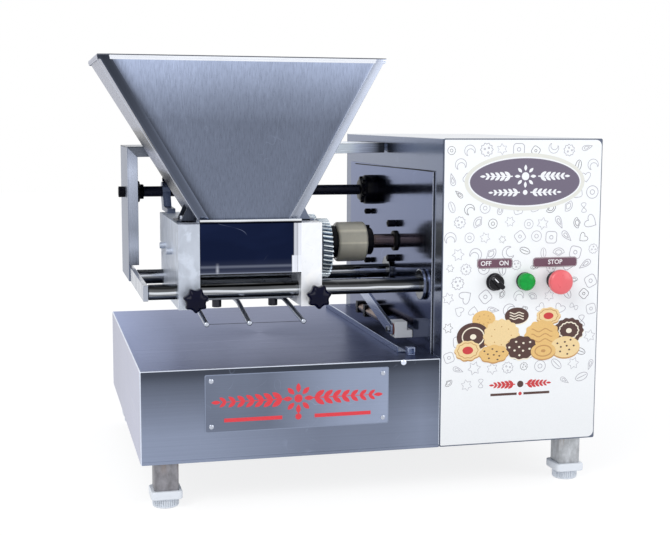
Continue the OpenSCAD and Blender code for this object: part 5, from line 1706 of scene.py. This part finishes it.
class DEPOSITOR_OT_gears(Operator):
    """The two meshed feed gears with slanted teeth"""
    bl_idname = "depositor.gears"
    bl_label = "Feed gears"

    def execute(self, context):
        teeth, module, width = sizes().gear_teeth, 2.5, 17
        pitch = module * teeth / 2
        root, tip = pitch - 1.2 * module, pitch + 0.9 * module
        for name, y, start, hand in (("front", 152, 0, 1), ("rear", 247, math.pi / teeth, -1)):
            twist = hand * math.tan(math.radians(sizes().helix)) * width / pitch
            metal = toothed_with_painted_light(f"Gear steel {name}", (lo_row(0), CORNER.y + y * MM, 0.386), root * MM, tip * MM)
            at = Matrix.Translation((312.5, y, 386)) @ aim("x")
            shape = Shape()
            shape.lathe([(0.4, 11.2), (0, 12), (0, root - 0.6), (0.5, root), (16.5, root), (17, root - 0.6), (17, 37.6),
                         (13, 37), (13, 21), (17, 20.2), (17, 12), (16.6, 11.2), (0.4, 11.2)], (312.5, y, 386), "x", 114)
            tooth = helical_tooth(root - 1.2, root, tip, module, width, twist)
            shape.add(ring_of(tooth, teeth, 0, at, metal, start))
            settle(shape.object(f"helical_gear_{name}", [metal], 30), f"gear_{name}")
        return {"FINISHED"}


class DEPOSITOR_OT_coupling(Operator):
    """Nylon sleeve between two black hubs, the worn drive shaft, its ring and the wall bolts"""
    bl_idname = "depositor.coupling"
    bl_label = "Coupling"

    def execute(self, context):
        black = blackened("Coupling black", hue("black"), 0.3)
        y, z = 247, 386
        shape = Shape()
        shape.lathe([(349.5, 11.2), (349.5, 27), (351.2, 29), (365.4, 29), (367, 27.6), (367, 25.7), (409, 25.7),
                     (410, 25), (410, 11.2), (349.5, 11.2)], (0, y, z), "x", 72)
        settle(shape.object("roller_hub", [black]), "hub_roller")
        lo, hi = span("hub_drive")
        shape = Shape()
        shape.lathe([(lo.x, 12.6), (lo.x, 25), (lo.x + 1, 26), (420.5, 26), (420.5, 24), (432, 24), (433.5, 22.6),
                     (433.5, 12.6), (lo.x, 12.6)], (0, y, z), "x", 72)
        shape.lathe([(22, 0), (22, 4), (28.4, 4), (29, 3.4), (29, 2), (27, 1.8), (27, 0)], (427, y, z), "z", 24)
        settle(shape.object("drive_hub", [black]), "hub_drive")
        nylon = self.nylon()
        shape = Shape()
        profile = [(367.5, 26.1), (367.5, 30.5)]
        profile += [(367.5 + 5 - 5 * math.cos(a), 30 + 5 * math.sin(a)) for a in (math.pi / 2 * i / 7 for i in range(8))]
        profile += [(415.5 + 5 * math.sin(a), 30 + 5 * math.cos(a)) for a in (math.pi / 2 * i / 7 for i in range(8))]
        profile += [(420.5, 26.1), (367.5, 26.1)]
        shape.lathe(profile, (0, y, z), "x", 96)
        settle(shape.object("nylon_sleeve", [nylon], 50), "coupling_sleeve")
        worn = polished("Worn shaft", (0.20, 0.145, 0.13), 0.2, 0.5)
        lo, hi = span("drive_shaft")
        shape = Shape()
        shape.lathe([(lo.x, 0), (lo.x, 12.5), (437, 12.5), (437.4, 12.1), (439, 12.1), (439.4, 12.5), (hi.x - 1, 12.5),
                     (hi.x, 11.5), (hi.x, 0)], (0, y, z), "x", 64)
        settle(shape.object("drive_shaft_rod", [worn]), "drive_shaft")
        rubber = plastic("Ring rubber", (0.012, 0.012, 0.014), 0.45)
        shape = Shape()
        shape.lathe([(0, 13), (0, 16.4), (1.2, 18), (5, 18), (5, 13), (0, 13)], (474, y, z), "x", 64)
        settle(shape.object("shaft_ring", [rubber]), "shaft_seal")
        shape = Shape()
        bolt_black = blackened("Bolt black", (0.0006, 0.0006, 0.004), 0.26)
        for radius, tall, spots in ((6.3, 15.5, ((247, 417), (247, 355))), (5.3, 12, ((408, 427), (408, 333)))):
            head = Shape()
            head.lathe([(-6, 0), (-6, 2.4), (1.1, 2.4), (1.1, radius), (tall - 2, radius), (tall - 0.6, radius - 0.6),
                        (tall, radius - 2), (tall, 3.2), (tall - 5, 3.0), (tall - 5, 0)], (0, 0, 0), "z", 32)
            shape.add(parts_on(head, [(z0, y0, 0) for y0, z0 in spots], Matrix.Translation((479, 0, 0)) @ aim("-x"),
                               bolt_black, 0.35))
        settle(shape.object("wall_bolt_heads", [bolt_black], 32), "wall_bolts")
        return {"FINISHED"}

    def nylon(self):
        """Turned nylon with a cloudy tone, two painted highlight lines along it and painted shade towards its bottom
        and its top.
        """
        n = Nodes("Turned nylon")
        tone = hue("nylon")
        rings = n.noise((900, 20, 20), 1, 3, 0.6)
        cloud = n.noise((30, 30, 30), 1, 4, 0.6)
        # Painted light along Z: two painted highlight lines, and painted shade towards the bottom and the top
        painted_sheen_and_shade = n.ramp(n.along("z", 0.352, 0.420), (0.0, 0.6), (0.3, 1.0), (0.47, 1.1), (0.51, 1.5), (0.55, 1.15), (0.76, 1.1),
                       (0.82, 1.6), (0.87, 1.15), (1.0, 0.8))
        base = n.mix(n.levels(cloud, 0, 0.3, 0.45, 0.7), tone, shade(tone, 0.6))
        base = n.mix(1.0, base, painted_sheen_and_shade, "MULTIPLY")
        n.bump(rings, 0.12, 0.0004)
        return n.set(Base_Color=base, Roughness=n.levels(cloud, 0.3, 0.42, 0.3, 0.7), Coat_Weight=0.3,
                     Coat_Roughness=0.1)


class DEPOSITOR_OT_wire_carriage(Operator):
    """Bent prongs, cross bar and strap of the cutting wire, with the white slide block and its bar"""
    bl_idname = "depositor.wire_carriage"
    bl_label = "Wire frame"

    def execute(self, context):
        chrome = polished("Prong chrome", shade(hue("chrome"), 0.95), 0.3)
        strap = brushed("Strap steel", hue("steel"), 1.25, "y", 0.24)
        lo, hi = span("wire_frame")
        shape = Shape()
        level = 296.5
        for x, lean in ((108, 0), (176, 5), (263, 0)):
            slope = (297 - 282) / (180 - 36)
            far = x + lean
            path = [(far, 385, level), (far, 200, level), (far, 190, level), (far, 180, level - 0.5),
                    (far, 170, 297 - 10 * slope - 0.5), (x, 36, 282)]
            shape.pipe(path, 4, 20, 0)
            tip = [(0, 4.0), (1.4, 4.25), (2.6, 4.1), (3.6, 3.2), (4.2, 1.6), (4.3, 0)]
            turn = Matrix.Rotation(-math.atan(slope), 4, "X")
            shape.lathe([(-1, 0), (-1, 4.0)] + tip, (0, 0, 0), "-y", 24, 0)
            bmesh.ops.transform(shape.bm, matrix=Matrix.Translation((x, 36, 282)) @ turn,
                                verts=list(shape.bm.verts)[-(24 * 6 + 2):])
        shape.lathe([(lo.x, 0), (lo.x, 5.2), (lo.x + 0.8, 6), (441, 6), (441, 0)], (0, 385, 298.5), "x", 40, 0)
        shape.prism([(144, 235), (164, 235), (393, 288.5), (393, 306.5), (371, 306.5), (144, 251)], 6,
                    Matrix.Translation((441, 0, 0)) @ aim("x"), 0.9, 3, 1)
        settle(shape.object("prong_frame", [chrome, strap], 35), "wire_frame")
        dress("cutting_wire", "cutting_wire_strand", polished("Wire steel", (0.10, 0.105, 0.12), 0.3), 0)
        white = plastic("Slide block nylon", (0.92, 0.94, 0.98), 0.4, 0, 0.08, 0.05)
        dress("slide_block", "slide_block_nylon", white, 1.0)
        brown = polished("Bar steel", (0.17, 0.115, 0.10), 0.25, 0.4)
        dress("guide_bar", "guide_bar_rod", brown, 0.6)
        dark = blackened("Guide black", (0.03, 0.03, 0.035), 0.34)
        dress("bar_guides", "bar_guide_pair", dark, 0.8)
        self.fixings(white, dark, chrome)
        return {"FINISHED"}

    def fixings(self, white, dark, chrome):
        """Threaded stud with its nut between strap and block, and the black ring beside the block."""
        red = blackened("Stud washer", (0.16, 0.045, 0.04), 0.3)
        shape = Shape()
        turn = Shape()
        turn.lathe([(-0.35, 3.6), (0, 4.6), (0.35, 3.6), (-0.35, 3.6)], (0, 0, 0), "z", 20)
        pitch = [(0, 0, 0.8 * i) for i in range(9)]
        shape.lathe([(0, 0), (0, 3.7), (7.2, 3.7), (7.2, 0)], (434.4, 150, 243), "x", 20, 0)
        shape.add(parts_on(turn, pitch, Matrix.Translation((434.8, 150, 243)) @ aim("x"), dark))
        shape.prism(hexagon(11), 4, Matrix.Translation((436, 150, 243)) @ aim("x"), 0.6, 3, 1)
        shape.lathe([(0, 0), (0, 9.5), (0.8, 10), (1.9, 10), (1.9, 0)], (443.0 + 2.1, 150, 243), "x", 32, 2)
        settle(shape.object("strap_stud", [dark, chrome, red]), "slide_block", stands_in=False)


class DEPOSITOR_OT_tray_rail(Operator):
    """Folded tray rail and its small stop on the base"""
    bl_idname = "depositor.tray_rail"
    bl_label = "Tray rail"

    def execute(self, context):
        dress("tray_rail", "tray_rail_sheet", brushed("Rail steel", hue("steel"), 1.35, "y", 0.24), 0.5)
        return {"FINISHED"}


class DEPOSITOR_OT_drive(Operator):
    """Gear motor inside the cabinet and the cable gland on the back"""
    bl_idname = "depositor.drive"
    bl_label = "Drive and gland"

    def execute(self, context):
        dress("gear_motor", "gear_motor_body", blackened("Motor paint", (0.14, 0.16, 0.19), 0.45), 1.2)
        black = plastic("Gland nylon", (0.012, 0.012, 0.014), 0.34)
        shape = Shape()
        shape.add(copy_of("cable_gland", 0.6))
        rib = Shape()
        rib.box((-0.5, -0.6, -0.4), (0.5, 0.6, 3.4), 0.3, 2)
        shape.add(ring_of(rib, 24, 9.7, Matrix.Translation((696, 600, 122)) @ aim("y"), black))
        settle(shape.object("cable_gland_body", [black]), "cable_gland")
        return {"FINISHED"}


class DEPOSITOR_OT_stage(Operator):
    """Pale floor, soft studio light, white surroundings and the camera"""
    bl_idname = "depositor.stage"
    bl_label = "Stage"

    def execute(self, context):
        scene = context.scene
        values = stage_settings()
        scene.view_settings.view_transform = "Standard"
        self.camera(scene, values)
        self.world(scene, values)
        self.floor()
        self.lamp("Key", (-1.9, -2.0, 2.4), (-0.1, 0, 0.35), 1.8, values.key)
        self.lamp("Fill", (2.3, -1.9, 1.3), (0.1, 0, 0.3), 1.6, values.fill)
        return {"FINISHED"}

    def camera(self, scene, values):
        yaw, pitch, roll = (math.radians(v) for v in (values.yaw, values.pitch, values.roll))
        ahead = Vector((math.sin(yaw) * math.cos(pitch), math.cos(yaw) * math.cos(pitch), -math.sin(pitch)))
        right = Vector((math.cos(yaw), -math.sin(yaw), 0))
        down = ahead.cross(right)
        turned = right * math.cos(roll) + down * math.sin(roll)
        lowered = -right * math.sin(roll) + down * math.cos(roll)
        matrix = Matrix((turned, -lowered, -ahead)).transposed().to_4x4()
        matrix.translation = Vector((-0.50875, -2.1126, 0.6008))
        camera = bpy.data.objects.new("Camera", bpy.data.cameras.new("Camera"))
        camera.data.lens = values.lens
        camera.data.sensor_width = 36
        camera.data.clip_end = 50
        camera.matrix_world = matrix
        scene.collection.objects.link(camera)
        scene.camera = camera

    def world(self, scene, values):
        world = bpy.data.worlds.new("Studio")
        scene.world = world
        world.use_nodes = True
        tree = world.node_tree
        tree.nodes.clear()
        seen = tree.nodes.new("ShaderNodeBackground")
        seen.inputs["Color"].default_value = (1, 1, 1, 1)
        seen.inputs["Strength"].default_value = 1.0
        lit = tree.nodes.new("ShaderNodeBackground")
        lit.inputs["Color"].default_value = (0.95, 0.97, 1.0, 1)
        lit.inputs["Strength"].default_value = values.world
        path = tree.nodes.new("ShaderNodeLightPath")
        first = tree.nodes.new("ShaderNodeMath")
        first.operation = "MAXIMUM"
        second = tree.nodes.new("ShaderNodeMath")
        second.operation = "MAXIMUM"
        tree.links.new(path.outputs["Is Camera Ray"], first.inputs[0])
        tree.links.new(path.outputs["Is Glossy Ray"], first.inputs[1])
        tree.links.new(first.outputs[0], second.inputs[0])
        tree.links.new(path.outputs["Is Transmission Ray"], second.inputs[1])
        mix = tree.nodes.new("ShaderNodeMixShader")
        tree.links.new(second.outputs[0], mix.inputs[0])
        tree.links.new(lit.outputs[0], mix.inputs[1])
        tree.links.new(seen.outputs[0], mix.inputs[2])
        out = tree.nodes.new("ShaderNodeOutputWorld")
        tree.links.new(mix.outputs[0], out.inputs["Surface"])

    def floor(self):
        material = bpy.data.materials.new("Pale floor")
        material.use_nodes = True
        tree = material.node_tree
        shader = tree.nodes["Principled BSDF"]
        shader.inputs["Base Color"].default_value = (0.9, 0.9, 0.9, 1)
        shader.inputs["Roughness"].default_value = 0.8
        glow = tree.nodes.new("ShaderNodeEmission")
        glow.inputs["Color"].default_value = (1, 1, 1, 1)
        glow.inputs["Strength"].default_value = 1.14
        path = tree.nodes.new("ShaderNodeLightPath")
        either = tree.nodes.new("ShaderNodeMath")
        either.operation = "MAXIMUM"
        tree.links.new(path.outputs["Is Camera Ray"], either.inputs[0])
        tree.links.new(path.outputs["Is Glossy Ray"], either.inputs[1])
        share = tree.nodes.new("ShaderNodeMath")
        share.operation = "MULTIPLY"
        share.inputs[1].default_value = 0.72
        tree.links.new(either.outputs[0], share.inputs[0])
        mix = tree.nodes.new("ShaderNodeMixShader")
        tree.links.new(share.outputs[0], mix.inputs[0])
        tree.links.new(shader.outputs[0], mix.inputs[1])
        tree.links.new(glow.outputs[0], mix.inputs[2])
        tree.links.new(mix.outputs[0], tree.nodes["Material Output"].inputs["Surface"])
        mesh = bpy.data.meshes.new("Floor")
        mesh.from_pydata([(-8, -8, 0), (8, -8, 0), (8, 8, 0), (-8, 8, 0)], [], [(0, 1, 2, 3)])
        mesh.materials.append(material)
        floor = bpy.data.objects.new("Floor", mesh)
        bpy.context.scene.collection.objects.link(floor)

    def lamp(self, name, place, target, size, power):
        light = bpy.data.lights.new(name, "AREA")
        light.shape = "SQUARE"
        light.size = size
        light.energy = power
        lamp = bpy.data.objects.new(name, light)
        lamp.location = place
        lamp.rotation_euler = (Vector(target) - Vector(place)).to_track_quat("-Z", "Y").to_euler()
        bpy.context.scene.collection.objects.link(lamp)


OPERATORS = (
    DEPOSITOR_OT_stage, DEPOSITOR_OT_base, DEPOSITOR_OT_nameplate, DEPOSITOR_OT_legs, DEPOSITOR_OT_feet,
    DEPOSITOR_OT_cabinet, DEPOSITOR_OT_front_panel, DEPOSITOR_OT_controls, DEPOSITOR_OT_rods,
    DEPOSITOR_OT_upper_frame, DEPOSITOR_OT_housing, DEPOSITOR_OT_hopper, DEPOSITOR_OT_knobs, DEPOSITOR_OT_gears,
    DEPOSITOR_OT_coupling, DEPOSITOR_OT_wire_carriage, DEPOSITOR_OT_tray_rail, DEPOSITOR_OT_drive,
)


class DEPOSITOR_PT_panel(Panel):
    """Lists the depositor's settings and pieces"""
    bl_idname = "DEPOSITOR_PT_panel"
    bl_label = "Cookie depositor"
    bl_space_type = "VIEW_3D"
    bl_region_type = "UI"
    bl_category = "Depositor"

    def draw(self, context):
        for group in (context.scene.depositor_sizes, context.scene.depositor_colours, context.scene.depositor_stage):
            box = self.layout.box()
            for key in group.__annotations__:
                box.prop(group, key)
        for operator in OPERATORS:
            self.layout.operator(operator.bl_idname)


SETTINGS = {"depositor_colours": DepositorColours, "depositor_sizes": DepositorSizes,
            "depositor_stage": DepositorStage}


def register():
    for cls in (*SETTINGS.values(), *OPERATORS, DEPOSITOR_PT_panel):
        bpy.utils.register_class(cls)
    for name, cls in SETTINGS.items():
        setattr(bpy.types.Scene, name, PointerProperty(type=cls))


def unregister():
    for name in SETTINGS:
        delattr(bpy.types.Scene, name)
    for cls in (DEPOSITOR_PT_panel, *reversed(OPERATORS), *SETTINGS.values()):
        bpy.utils.unregister_class(cls)


def main():
    register()
    for operator in OPERATORS:
        group, name = operator.bl_idname.split(".")
        getattr(getattr(bpy.ops, group), name)()


if __name__ == "__main__":
    main()
